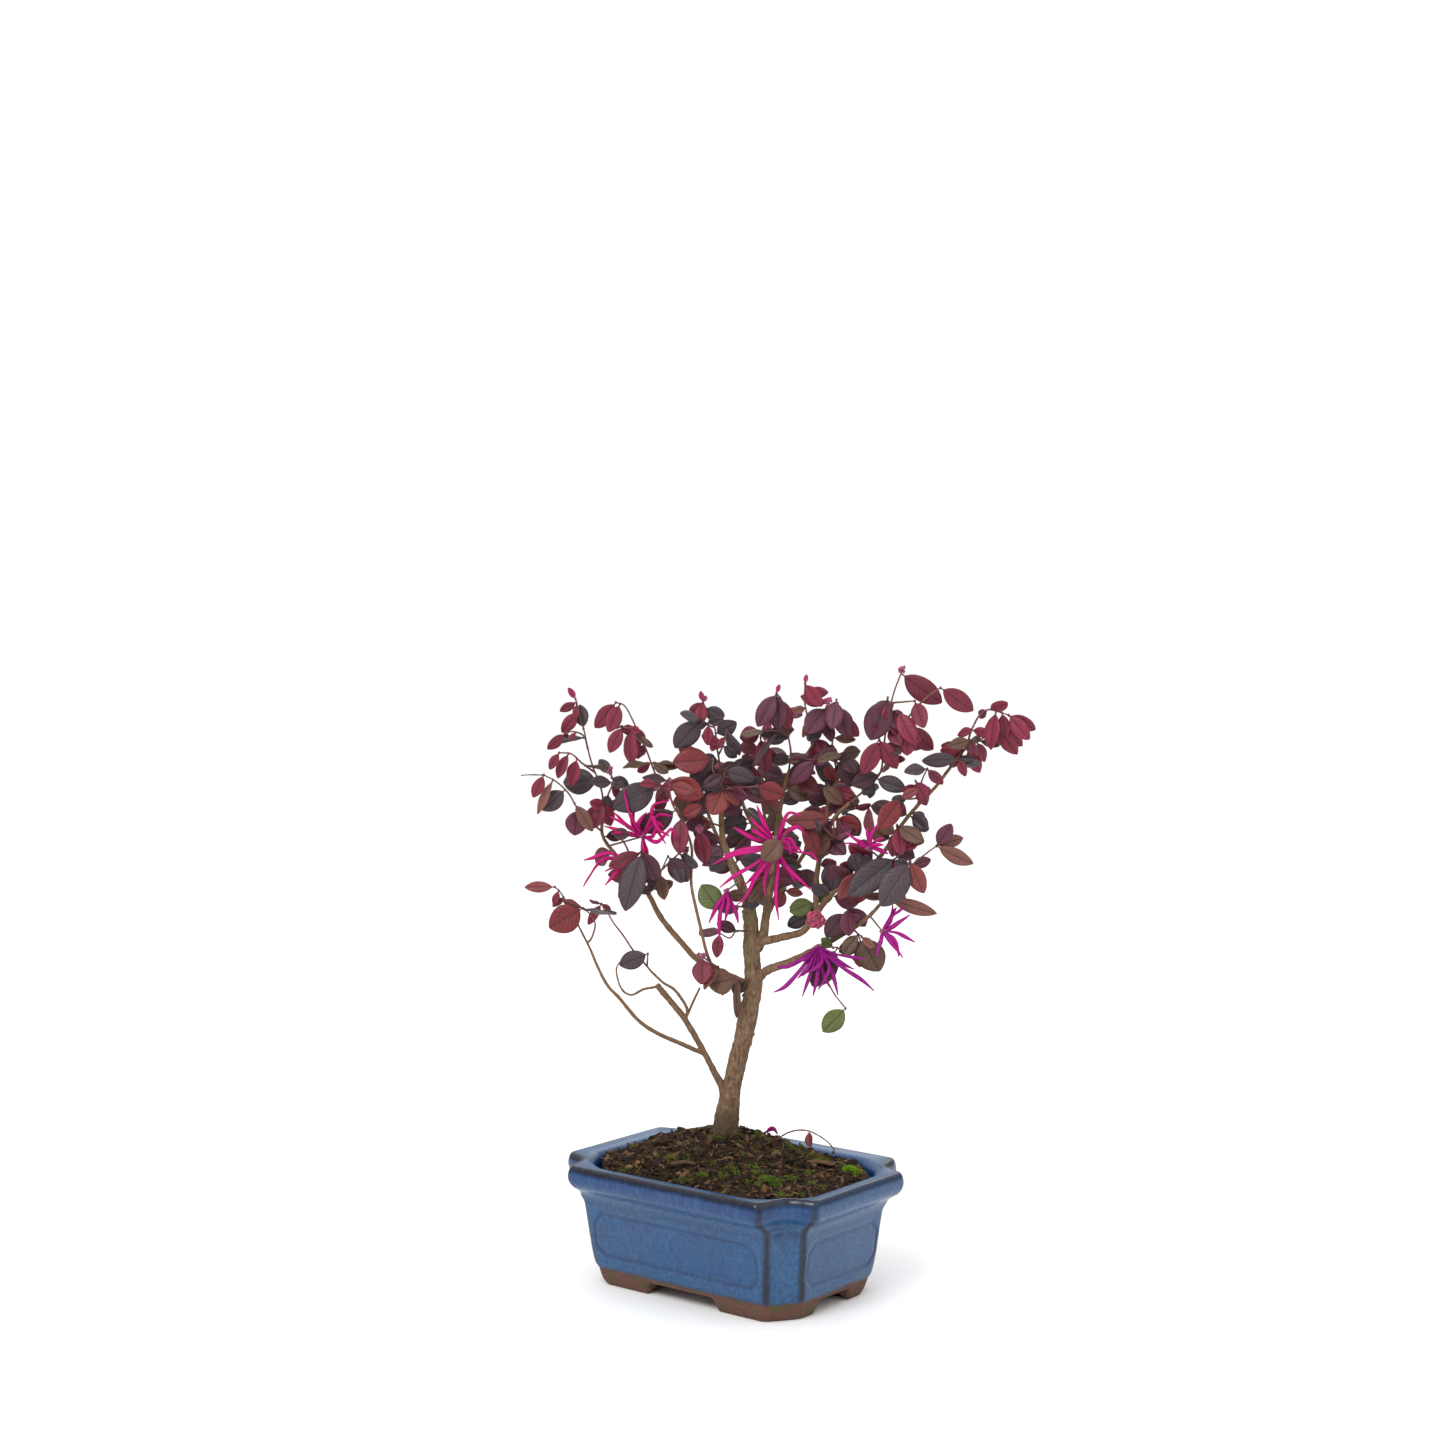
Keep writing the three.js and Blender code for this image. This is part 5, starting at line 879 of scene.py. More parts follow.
def bark():
    # Smooth young hardwood bark: grey-brown with long fine furrows, pale lichen and a trace of green algae.
    r = Recipe("grey_brown_bark")
    scar, low_darkening, young = r.mark()
    long_grain = r.noise(1.6, 5, 0.65, stretch=(1, 1, 0.35))
    patch = r.noise(6, 4, 0.6)
    colour = r.ramp(long_grain, [(0.28, "#3b2f26"), (0.5, "#715741"), (0.7, "#95795f")])
    colour = r.mix(r.ramp(patch, [(0.45, 0.0), (0.7, 0.6)]), colour, "#836e59")
    ripening = r.sum("MULTIPLY", young, r.ramp(long_grain, [(0.2, 0.85), (0.8, 0.55)]))
    colour = r.mix(ripening, colour, "#73583f")
    # Darker brown towards the soil at the foot of the trunk, blotched by the patch noise.
    colour = r.mix(r.sum("MULTIPLY", low_darkening, r.ramp(patch, [(0.3, 0.5), (0.6, 1.0)])), colour, "#3a3020")
    algae = r.sum("MULTIPLY", scar, r.ramp(r.noise(2, 3), [(0.4, 0.2), (0.6, 1.0)]))
    colour = r.mix(algae, colour, "#6c7248")
    height = r.sum("ADD", long_grain, r.sum("MULTIPLY", r.noise(0.5, 3, 0.7), 0.5))
    return r.finish(Base_Color=colour, Roughness=0.85, Specular_IOR_Level=0.3, Normal=r.bump(height, 0.35))


def green_wood():
    # New shoots: thin waxy bark, brown where it ripens and red-purple towards the tip.
    r = Recipe("new_shoot_bark")
    colour = r.mix(r.ramp(r.noise(1.5, 3), [(0.35, 0.0), (0.7, 0.6)]), r.tint(), "#3d2a20")
    return r.finish(Base_Color=colour, Roughness=0.6, Normal=r.bump(r.noise(0.6, 3), 0.08))


def leaf_matter():
    # A thin leathery leaf, purple with anthocyanin over green: soft waxy shine, veins sunken and darker.
    r = Recipe("burgundy_leaf")
    along, across = r.mark()[:2]
    side = r.sum("ABSOLUTE", across)
    ribs = r.sum("SINE", r.sum("MULTIPLY", r.sum("SUBTRACT", along, r.sum("MULTIPLY", side, 0.28)), 48.0))
    ribs = r.ramp(ribs, [(0.8, 0.0), (0.98, 1.0)])
    midrib = r.ramp(side, [(0.03, 1.0), (0.09, 0.0)])
    vein = r.sum("MAXIMUM", r.sum("MULTIPLY", ribs, 0.55), midrib)
    blotch = r.noise(3.2, 4, 0.6)
    colour = r.mix(r.ramp(blotch, [(0.4, 0.0), (0.75, 0.5)]), r.tint(),
                   r.mix(0.6, r.tint(), "#1c1013"))
    speckle = r.ramp(r.noise(0.5, 2), [(0.45, 0.0), (0.8, 0.35)])
    colour = r.mix(speckle, colour, r.mix(0.7, r.tint(), "#8e7076"))
    colour = r.mix(r.sum("MULTIPLY", vein, 0.75), colour, r.mix(0.72, colour, "#160c0e"))
    height = r.sum("ADD", r.sum("MULTIPLY", vein, -0.8), r.sum("MULTIPLY", r.noise(0.45, 3, 0.6), 0.5))
    surface = r.add("BsdfPrincipled", {
        "Base Color": colour, "Roughness": 0.42, "Specular IOR Level": 0.42, "Sheen Weight": 0.06,
        "Sheen Roughness": 0.4, "Normal": r.bump(height, 0.3)})
    glow = r.add("BsdfTranslucent", {"Color": r.mix(0.5, colour, "#8a1f2c")})
    both = r.add("MixShader", {0: 0.16, 1: surface.outputs[0], 2: glow.outputs[0]})
    r.tree.links.new(both.outputs[0], r.output.inputs["Surface"])
    return r.material


def petal_matter():
    # Thin wet petals full of magenta pigment: light passes through, so they almost glow.
    r = Recipe("magenta_petal")
    across = r.mark()[1]
    lines = r.ramp(r.sum("SINE", r.sum("MULTIPLY", across, 9.0)), [(0.3, 0.0), (0.9, 0.5)])
    colour = r.mix(lines, r.tint(), r.mix(0.5, r.tint(), "#7a0a5a"))
    colour = r.mix(r.ramp(r.noise(2, 3), [(0.4, 0.0), (0.75, 0.4)]), colour, "#e02aa0")
    surface = r.add("BsdfPrincipled", {"Base Color": colour, "Roughness": 0.5, "Specular IOR Level": 0.35,
                                       "Normal": r.bump(lines, 0.05)})
    glow = r.add("BsdfTranslucent", {"Color": r.mix(0.35, colour, "#ff2fb0")})
    both = r.add("MixShader", {0: 0.42, 1: surface.outputs[0], 2: glow.outputs[0]})
    r.tree.links.new(both.outputs[0], r.output.inputs["Surface"])
    return r.material


def bud_matter():
    # Unopened flower buds: tight, downy and dark magenta.
    r = Recipe("downy_bud")
    colour = r.mix(r.ramp(r.noise(0.8, 3), [(0.35, 0.0), (0.7, 0.6)]), r.tint(), "#4e1030")
    return r.finish(Base_Color=colour, Roughness=0.7, Sheen_Weight=0.6, Normal=r.bump(r.noise(0.4, 3), 0.15))


def plastic():
    # Black polyethylene mesh, slightly greasy looking.
    r = Recipe("black_plastic_mesh")
    return r.finish(Base_Color="#191a1a", Roughness=0.5, Normal=r.bump(r.noise(1, 2), 0.02))


GLAZE, SOIL, CRUMB, MOSS, BARK = glaze(), soil_matter(), crumbs(), moss_matter(), bark()
SHOOT, LEAF, PETAL, BUD, PLASTIC = green_wood(), leaf_matter(), petal_matter(), bud_matter(), plastic()


# ------------------------------------------------------------ the pot
def pot_ring(inset, cut_x, cut_y, hollow, z, step, corner_steps):
    """One level outline of the pot: (point, side, distance to the nearest corner tip) all the way round."""
    x, y = POT_LENGTH / 2 - inset, POT_WIDTH / 2 - inset
    tips = []
    for sx, sy in ((1, -1), (1, 1), (-1, 1), (-1, -1)):
        on_long = Vector((sx * (x - cut_x), sy * y, z))
        on_short = Vector((sx * x, sy * (y - cut_y), z))
        notch = Vector((sx * (x - cut_x), sy * (y - cut_y), z))
        ends = (on_long, on_short) if sx * sy < 0 else (on_short, on_long)
        tips.append((*ends, (ends[0] + ends[1]) / 2 * (1 - hollow) + notch * hollow))
    ring = []
    for k, (start, end, pull) in enumerate(tips):
        for i in range(corner_steps):
            t = i / corner_steps
            point = (start * (1 - t)**3 + pull * (3 * t * (1 - t)**2 + 3 * t * t * (1 - t)) + end * t**3)
            ring.append((point, "corner", min((point - start).length, (point - end).length)))
        after = tips[(k + 1) % 4][0]
        side = "short" if k % 2 == 0 else "long"
        count = round((96 if side == "short" else 150) / step)
        for i in range(count):
            point = end.lerp(after, i / count)
            ring.append((point, side, min((point - end).length, (point - after).length)))
    for _ in range(round(9 / step)):
        places = [spot[0] for spot in ring]
        for i, (point, side, tip) in enumerate(ring):
            if tip <= 6:
                softer = (places[i - 1] + point * 2 + places[(i + 1) % len(ring)]) / 4
                ring[i] = (softer, side, tip)
    return ring


def arch_lift(point, side):
    """How far the bottom edge is raised here: 0 under the feet, full between them."""
    place, half = (abs(point.x), 23) if side == "long" else (abs(point.y), 13)
    if side == "corner":
        return 0
    return FOOT_HEIGHT * (1 - smooth_step(half - 0.5, half + 5, place))


def panel(point, side, z):
    """Signed distance to the framed panel pressed into each face, negative inside it."""
    if side == "corner":
        return 9
    along, half = (abs(point.x), 61) if side == "long" else (abs(point.y), 34)
    a, b = along - half, abs(z - 33) - 13
    return max(a, b, (a + b + 6) / math.sqrt(2))


def make_pot():
    step, corners = ((1.0, 16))
    rows = [(35.4, 8.2), (35.2, 4.0), (34.8, 0.5), (34.2, 0), (23.4, 0), (22.4, 0.3), (21.6, 1.4),
            (20.6, 3.4), (19.8, 6.0), (19.3, 8.2), (18.9, 10.0), (18.75, GLAZE_LINE - 0.2),
            (18.2, GLAZE_LINE + 0.2), (17.95, GLAZE_LINE + 0.9)]
    z = 13.0
    while z < 51:
        share = (z - 12) / 39
        rows.append((17.7 - 5.9 * share**0.8, z))
        z += 1
    rows += [(11.6, 51.6), (11.1, 53), (10.5, 54.3), (9.8, 55.6), (9.0, 56.8), (8.0, 57.9), (6.8, 58.9),
             (5.5, 59.8), (4.1, 60.7), (2.8, 61.6), (1.7, 62.8), (0.9, 64.2), (0.3, 66.0), (0, 68.0),
             (0.1, 70.0), (0.3, 71.4), (0.6, 72.6), (0.95, 73.5), (1.4, 74.3), (2.0, 74.8), (2.7, 75.0),
             (3.6, 74.85), (5.2, 74.6), (7.5, 74.4), (10, 74.1), (11.8, 73.4), (13.0, 72.2), (13.8, 70.4),
             (14.3, 68.5), (15.4, 64), (19.5, 40), (24.0, 19), (25, 17.4), (26.5, 17)]
    skin = Skin()
    rings = [[skin.add(Vector((0, 0, 8.2)), mark=(0, 1, 0))]]
    inside = False
    for inset, z in rows:
        inside = inside or (inset > 2 and z > 74)
        height = smooth_step(14, 60, z)
        cut_x, cut_y = (13 + 9 * smooth_step(54, 63, z), 18 + 7 * smooth_step(54, 63, z))
        hollow = height * (1 - 0.3 * smooth_step(52, 64, z))
        if inside:
            away = smooth_step(2, 12, inset)
            cut_x, cut_y, hollow = 22 + 6 * away, 25 + 2 * away, 0.7 - away
        if inside and z < 66:
            cut_x, cut_y = 24, 23
        ring = []
        for point, side, tip in pot_ring(inset, cut_x, cut_y, hollow, z, step, corners):
            lift = arch_lift(point, side)
            distance = panel(point, side, z)
            groove = 0
            if not inside and 16 < z < 52:
                groove = math.exp(-(distance / 1.1)**2)
                out = Vector((0, math.copysign(1, point.y), 0) if side == "long"
                             else (math.copysign(1, point.x), 0, 0))
                sunk = 0.6 * groove + 0.35 * (1 - smooth_step(-1, 0.5, distance))
                if side != "corner":
                    point = point - out * sunk
            if z < FOOT_HEIGHT + 0.1 and lift:
                point.z = lift + z * (1 - lift / (FOOT_HEIGHT + 0.1))
            wave = rumple(point, 30, 3)
            if not inside and z > 9:
                flat = Vector((point.x, point.y, 0)).normalized()
                point = point + flat * (0.35 * wave + 0.08 * rumple(point, 5))
            ragged = 0.5 * rumple(point, 4, 6)
            ridge = min(1, 1.5 * math.exp(-((tip + ragged) / 2.3)**2))
            thin = ridge * (0.95 if z < 60 else 0.8) * (0.15 if inside else 1)
            rim_edge = 1 if side != "short" else 0.8
            if not inside:
                thin = max(thin, rim_edge * smooth_step(70.0, 72.6, z + 1.6 * ragged),
                           0.22 * math.exp(-((z - 52 - ragged) / 1.8)**2),
                           0.6 * math.exp(-((z - GLAZE_LINE - 0.6) / 0.7)**2), 0.3 * groove)
            elif inset < 4.5:
                thin = max(thin, rim_edge * (1 - smooth_step(2.2, 4.4, inset + ragged)))
            pool = smooth_step(61, 67, z) * (1 - smooth_step(72.5, 73.5, z)) if not inside else 0
            # The rim band's pooled glaze is real, but on the short sides it is kept lighter: painted light,
            # as if those sides were lit more.
            if side == "short":
                pool *= 0.35
            pool = max(pool, 0.8 * groove, 0.3 * (1 - smooth_step(-3, 2, distance)) if 16 < z < 52 else 0)
            if inside:
                pool = 0.8 * smooth_step(9.5, 13, inset)
            clay = 0
            if not inside:
                clay = 1 - smooth_step(GLAZE_LINE - 0.8, GLAZE_LINE + 0.8, z + 0.9 * rumple(point, 9, 5))
            ring.append(skin.add(point, mark=(thin, clay, pool)))
        rings.append(ring)
    rings.append([skin.add(Vector((0, 0, FLOOR_TOP)), mark=(0, 0, 0.8))])
    skin.ring_faces(rings)
    pot = skin.build("pot_body", GLAZE, "glazed_pot", ["pot"])
    for side in (-1, 1):
        drill = Skin()
        middle = Vector((side * DRAIN_SPACING / 2, 0, 0))
        drill.tube([middle + Vector((0, 0, 5)), middle + Vector((0, 0, 20))], DRAIN_RADIUS, 40)
        mesh = bpy.data.meshes.new("drain_hole")
        mesh.from_pydata([(p + POT_CENTRE) * MM for p in drill.points], [], drill.faces)
        cutter = bpy.data.objects.new("drain_hole", mesh)
        bpy.context.scene.collection.objects.link(cutter)
        cut = pot.modifiers.new("drain_hole", "BOOLEAN")
        cut.object, cut.operation, cut.solver = cutter, "DIFFERENCE", "EXACT"
        bake(pot)
        bpy.data.objects.remove(cutter)
    pot.data.set_sharp_from_angle(angle=math.radians(50))


def bake(piece):
    """Turns a piece's modifiers into its own mesh."""
    bpy.context.view_layer.update()
    made = bpy.data.meshes.new_from_object(piece.evaluated_get(bpy.context.evaluated_depsgraph_get()))
    piece.modifiers.clear()
    piece.data = made


def make_screens():
    for side, name in ((-1, "drainage_screen_left"), (1, "drainage_screen_right")):
        skin = Skin()
        pitch = (SCREEN_SIZE - 1.6) / 8
        for k in range(9):
            offset = (k - 4) * pitch
            for turn in (0, 1):
                ends = [Vector((-SCREEN_SIZE / 2, offset, 0)), Vector((SCREEN_SIZE / 2, offset, 0))]
                if turn:
                    ends = [Vector((e.y, e.x, 0)) for e in ends]
                lift = Vector((side * DRAIN_SPACING / 2, 0, FLOOR_TOP + 0.8 + (0.15 if turn else -0.15)))
                skin.tube([e + lift for e in ends], 0.45, 8)
        skin.build(name + "_mesh", PLASTIC, "screen_plastic", [name])


# ------------------------------------------------------------ the soil and what lies on it
MOUND_TOP = turned((-4, 26, 0))


def soil_height(x, y):
    far = math.hypot(x - MOUND_TOP.x, y - MOUND_TOP.y) / MOUND_SPREAD
    lumps = (0.7 * math.sin(x * 0.31 + 1) * math.cos(y * 0.27) + 0.4 * math.sin(x * 0.13 - y * 0.21))
    return SOIL_EDGE + SOIL_MOUND * math.exp(-far * far) + lumps


def soil_surface(x, y):
    place = (x, y, 0)
    rough = 1.5 * rumple(place, 6) + 0.9 * rumple(place, 2.4, 7) + 0.45 * rumple(place, 1.1, 3)
    wall_gap = min(80 - abs(x), 55.3 - abs(y), (108 - abs(x) - abs(y)) / math.sqrt(2))
    heaped = soil_height(x, y) - SOIL_EDGE + 1
    return SOIL_EDGE - 1 + heaped * smooth_step(-3, 15, wall_gap) + rough


def inner_inset(z):
    share = min(1, max(0, (z - FLOOR_TOP) / (POT_HEIGHT - 6 - FLOOR_TOP)))
    return 24.4 + (RIM_WIDTH - 24.4) * share


def make_soil():
    skin = Skin()
    step = 1.3
    wall = [spot[0] for spot in pot_ring(inner_inset(69.5) + 0.5, 27, 27, 0, 69.5, step, 6)]
    foot = [spot[0] for spot in pot_ring(inner_inset(18) + 0.8, 20, 20, 0, 17.4, step, 6)]
    rings = [[skin.add(Vector((0, 0, 17.4)))], [skin.add(p) for p in foot], [skin.add(p) for p in wall]]
    layers = 62
    for k in range(layers):
        share = 1 - (k + 0.15) / layers
        ring = []
        for p in wall:
            x, y = MOUND_TOP.x * (1 - share) + p.x * share, MOUND_TOP.y * (1 - share) + p.y * share
            fade = smooth_step(0, 0.05, 1 - share)
            ring.append(skin.add(Vector((x, y, soil_surface(x, y) - 1.5 * (1 - fade)))))
        rings.append(ring)
    rings.append([skin.add(Vector((MOUND_TOP.x, MOUND_TOP.y, soil_surface(MOUND_TOP.x, MOUND_TOP.y))))])
    skin.ring_faces(rings)
    skin.build("soil_body", SOIL, "potting_soil", ["soil"])


def on_soil(dice):
    """A random place on the soil, kept off the wall."""
    while True:
        x, y = dice.uniform(-80, 80), dice.uniform(-55, 55)
        corner = (abs(x) - 54) + (abs(y) - 29)
        if corner < 25 and math.hypot(x - MOUND_TOP.x, y - MOUND_TOP.y) > 9:
            return x, y


def make_crumbs():
    dice = random.Random(4)
    browns = ["#2c1d12", "#402b1b", "#523a26", "#705338", "#1f150d", "#5c3e29", "#3a2d20", "#846648"]
    skin = Skin()
    for k in range(4600):
        x, y = on_soil(dice)
        size = dice.choice((0.7, 0.9, 1.1, 1.6, 2.4)) * dice.uniform(0.5, 1.1)
        half = Vector((size, size * dice.uniform(0.25, 0.7), size * dice.uniform(0.12, 0.35)))
        yaw, tilt, roll = dice.uniform(0, 6.3), dice.uniform(-0.6, 0.6), dice.uniform(-0.7, 0.7)
        tint = linear(dice.choice(browns[:5] if k % 4 else browns))
        middle = Vector((x, y, soil_surface(x, y) + half.z * 0.9))
        corners = []
        for cx, cy, cz in ((-1, -1, -1), (1, -1, -1), (1, 1, -1), (-1, 1, -1),
                           (-1, -1, 1), (1, -1, 1), (1, 1, 1), (-1, 1, 1)):
            p = Vector((cx * half.x, cy * half.y, cz * half.z)) * dice.uniform(0.6, 1.1)
            p.z += p.x * tilt + p.y * roll
            p = Vector((p.x * math.cos(yaw) - p.y * math.sin(yaw),
                        p.x * math.sin(yaw) + p.y * math.cos(yaw), p.z))
            corners.append(skin.add(middle + p, tint))
        for face in ((0, 3, 2, 1), (4, 5, 6, 7), (0, 1, 5, 4), (1, 2, 6, 5), (2, 3, 7, 6), (3, 0, 4, 7)):
            skin.faces.append(tuple(corners[i] for i in face))
    for k in range(110):
        x, y = on_soil(dice)
        heading, length = dice.uniform(0, 6.3), dice.uniform(4, 13)
        way = []
        for i in range(4):
            px = x + math.cos(heading) * length * (i / 3 - 0.5)
            py = y + math.sin(heading) * length * (i / 3 - 0.5)
            heading += dice.uniform(-0.5, 0.5)
            way.append(Vector((px, py, soil_surface(px, py) + dice.uniform(0.3, 1.3))))
        if all(abs(p.x) < 79 and abs(p.y) < 54 for p in way):
            tint = linear(dice.choice(("#8b6a45", "#6b4b2f", "#3f2c1d", "#a98a5f")))
            skin.tube(way, [0.3, 0.14], 4, tint, step=8)
    skin.build("soil_crumbs", CRUMB, "potting_soil", ["soil"], flat=True)


def moss_tuft(skin, dice, x, y, reach, height, count, greens):
    """Many short pointed leaflets standing on a cushion."""
    for k in range(count):
        angle, far = dice.uniform(0, 6.3), math.sqrt(dice.random())
        px = x + reach[0] * far * math.cos(angle)
        py = y + reach[1] * far * math.sin(angle)
        base = Vector((px, py, soil_surface(px, py) + height * (1 - far * far) * 0.7 - 0.3))
        lean = Vector((dice.uniform(-1, 1), dice.uniform(-1, 1), 0)) * 0.9
        tip = base + (lean + Vector((0, 0, 1))) * dice.uniform(0.6, 1.0) * (1.1 + 0.25 * height)
        wide = dice.uniform(0.18, 0.32)
        turn = dice.uniform(0, 2)
        tint = linear(dice.choice(greens))
        foot, mid = [], []
        for a in (turn, turn + 2.1, turn + 4.2):
            foot.append(skin.add(base + Vector((math.cos(a), math.sin(a), 0)) * wide, tint))
        for a in (turn + 0.3, turn + 2.4, turn + 4.5):
            out = Vector((math.cos(a), math.sin(a), 0)) * wide * 1.1
            mid.append(skin.add(base.lerp(tip, 0.5) + out, tint))
        skin.ring_faces([foot, mid, [skin.add(tip, tint)]])
        skin.faces.append(tuple(reversed(foot)))


def make_moss():
    dice = random.Random(11)
    bright = ["#7fae1c", "#5f9316", "#94c22b", "#4c7a14"]
    dull = ["#434d1c", "#5c6420", "#363f18", "#6f6d2c"]
    for name, place, reach, height, count, greens in (
            ("moss_front", (44, -22), (8, 6), 2.6, 900, dull + bright[3:]),
            ("moss_right", (66, 30), (6, 4.5), 3.6, 800, bright),
            ("moss_left", (-62, 38), (13, 7), 2.4, 1500, dull + bright[3:])):
        skin = Skin()
        moss_tuft(skin, dice, *place, reach, height, count, greens)
        skin.build(name + "_leaflets", MOSS, "moss", [name], flat=True)
    skin = Skin()
    for k in range(90):
        x, y = on_soil(dice)
        if abs(x) > 74 or abs(y) > 49:
            continue
        reach = dice.uniform(1.5, 5)
        moss_tuft(skin, dice, x, y, (reach, reach * 0.8), 0.8, int(9 * reach * reach), dull)
    for k in range(6):
        angle = k * 1.05
        moss_tuft(skin, dice, MOUND_TOP.x + 8.4 * math.cos(angle), MOUND_TOP.y + 8.4 * math.sin(angle),
                  (2.0, 1.6), 0.9, 40, dull)
    skin.build("soil_moss", MOSS, "moss", ["soil"], flat=True)


def make_plank(name, x, y, size, yaw, tint):
    """A weathered scrap of bark: long grain, ragged ends, curled along its length."""
    skin = Skin()
    rings = []
    stations = 22
    for i in range(stations + 1):
        share = i / stations - 0.5
        ring = []
        for k in range(12):
            angle = 2 * math.pi * k / 12
            grain = 1 + 0.25 * rumple((share * 4, math.cos(angle) * 3, math.sin(angle) * 3 + x), 0.8)
            end = max(0.12, 1 - smooth_step(0.4, 0.52, abs(share)) * (0.7 + 0.3 * math.sin(5 * angle)))
            px = share * size[0]
            py = math.cos(angle) * size[1] / 2 * grain * end * (1 - 0.5 * share * share)
            pz = math.sin(angle) * size[2] / 2 * grain * end + 0.8 * math.cos(4 * share) + 0.2
            wx = x + px * math.cos(yaw) - py * math.sin(yaw)
            wy = y + px * math.sin(yaw) + py * math.cos(yaw)
            ring.append(skin.add(Vector((wx, wy, soil_height(x, y) + size[2] * 0.5 + pz)), linear(tint)))
        rings.append(ring)
    skin.ring_faces(rings)
    skin.faces += [tuple(reversed(rings[0])), tuple(rings[-1])]
    skin.build(name + "_scrap", CRUMB, "bark", [name])


# ------------------------------------------------------------ the tree's wood
def make_wood():
    skin = Skin()
    for name, branch in WOOD.items():
        points, radii = branch["points"], list(branch["radii"])
        sides = 26 if name == "trunk" else 12
        steps = max(6, int(sum((b - a).length for a, b in zip(points, points[1:])) / 1.5))
        skin.tube(points, radii, sides, step=steps, wobble=0.12)
    dice = random.Random(2)
    trunk, thick = WOOD["trunk"]["points"], WOOD["trunk"]["radii"]
    for k in range(26):
        t = dice.uniform(0.12, 0.98)
        angle = dice.uniform(0, 6.3)
        radius = spread(thick, t)
        out = Vector((math.cos(angle), math.sin(angle), 0))
        knob = spline(trunk, t) + out * radius * 0.86
        skin.ball(knob, dice.uniform(0.9, 1.9), stretch=(1, 1, 0.75), rows=5)
    for k in range(7):
        angle = k * 0.93
        out = Vector((math.cos(angle), math.sin(angle), 0))
        foot = Vector((-4.5, 26, 88))
        root = [foot + out * 3 + Vector((0, 0, 7)), foot + out * 6.4, foot + out * 10 + Vector((0, 0, -6))]
        skin.tube(root, [2.4, 2.2, 1.0], 8, step=8)
    for t, side in ((0.9, -1), (0.62, 1)):
        out = Vector((side * 0.7, -0.7, 0))
        radius = spread(thick, t)
        spot = spline(trunk, t) + out * radius * 0.8
        skin.tube([spot, spot + out * 1.8], [2.6, 2.1], 14)
    tree = skin.build("trunk_and_limbs", BARK, "bark", ["trunk_and_branches"], of_tree=True)
    join = tree.modifiers.new("grown_together", "REMESH")
    join.mode, join.voxel_size = "VOXEL", 0.38 * MM
    soft = tree.modifiers.new("rounded", "SMOOTH")
    soft.factor, soft.iterations = 0.5, 3
    bake(tree)
    samples = []
    for branch in WOOD.values():
        points = branch["points"]
        for i in range(6 * (len(points) - 1) + 1):
            t = i / (6 * (len(points) - 1))
            samples.append((turned(spline(points, t)), spread(branch["radii"], t)))
    near = KDTree(len(samples))
    for i, (point, radius) in enumerate(samples):
        near.insert(point, i)
    near.balance()
    mesh = tree.data
    algae = [turned((8, 24, 200)), turned((11, 22, 222))]
    normals = [n.vector.copy() for n in mesh.vertex_normals]
    places, marks = [], []
    for vertex, normal in zip(mesh.vertices, normals):
        place = vertex.co / MM - POT_CENTRE
        radius = samples[near.find(place)[1]][1]
        furrow = rumple((place.x, place.y, place.z * 0.35), 1.1, 4)
        knobs = rumple(place, 3.2, 8)
        depth = min(1, radius / 4) * (0.32 * furrow + 0.4 * knobs)
        places.extend(vertex.co + normal * depth * MM)
        scar = max(math.exp(-((place - a).length / 6)**2) for a in algae)
        # Darker towards the soil: full at z 84 mm, gone by 112 mm.
        low_darkening = 1 - smooth_step(84, 112, place.z)
        marks.extend((scar, low_darkening, 1 - smooth_step(1.0, 3.4, radius)))
    mesh.vertices.foreach_set("co", places)
    mesh.attributes.new("mark", "FLOAT_VECTOR", "POINT").data.foreach_set("vector", marks)
    mesh.polygons.foreach_set("use_smooth", [True] * len(mesh.polygons))


# ------------------------------------------------------------ leaves, shoots and buds
LEAF_COLOURS = {
    "young": ("#701530", "#96203f"), "mature": ("#483c42", "#392d34"), "dark": ("#3a2028", "#521f2e"),
    "dusky": ("#552034", "#6b2440"), "tan": ("#74483c", "#8c5246"), "olive": ("#56442f", "#6a4030"),
    "red": ("#6c191e", "#8a2426"), "salmon": ("#7c3433", "#94403c"), "green": ("#4f5f2c", "#697538"),
    "bud": ("#94204a", "#b22c5c")}
# A real blade is fuller than the solid that stands for it.
LEAF_FULLNESS = 1.14


def blend(one, two, share):
    return tuple(a + (b - a) * share for a, b in zip(one, two))


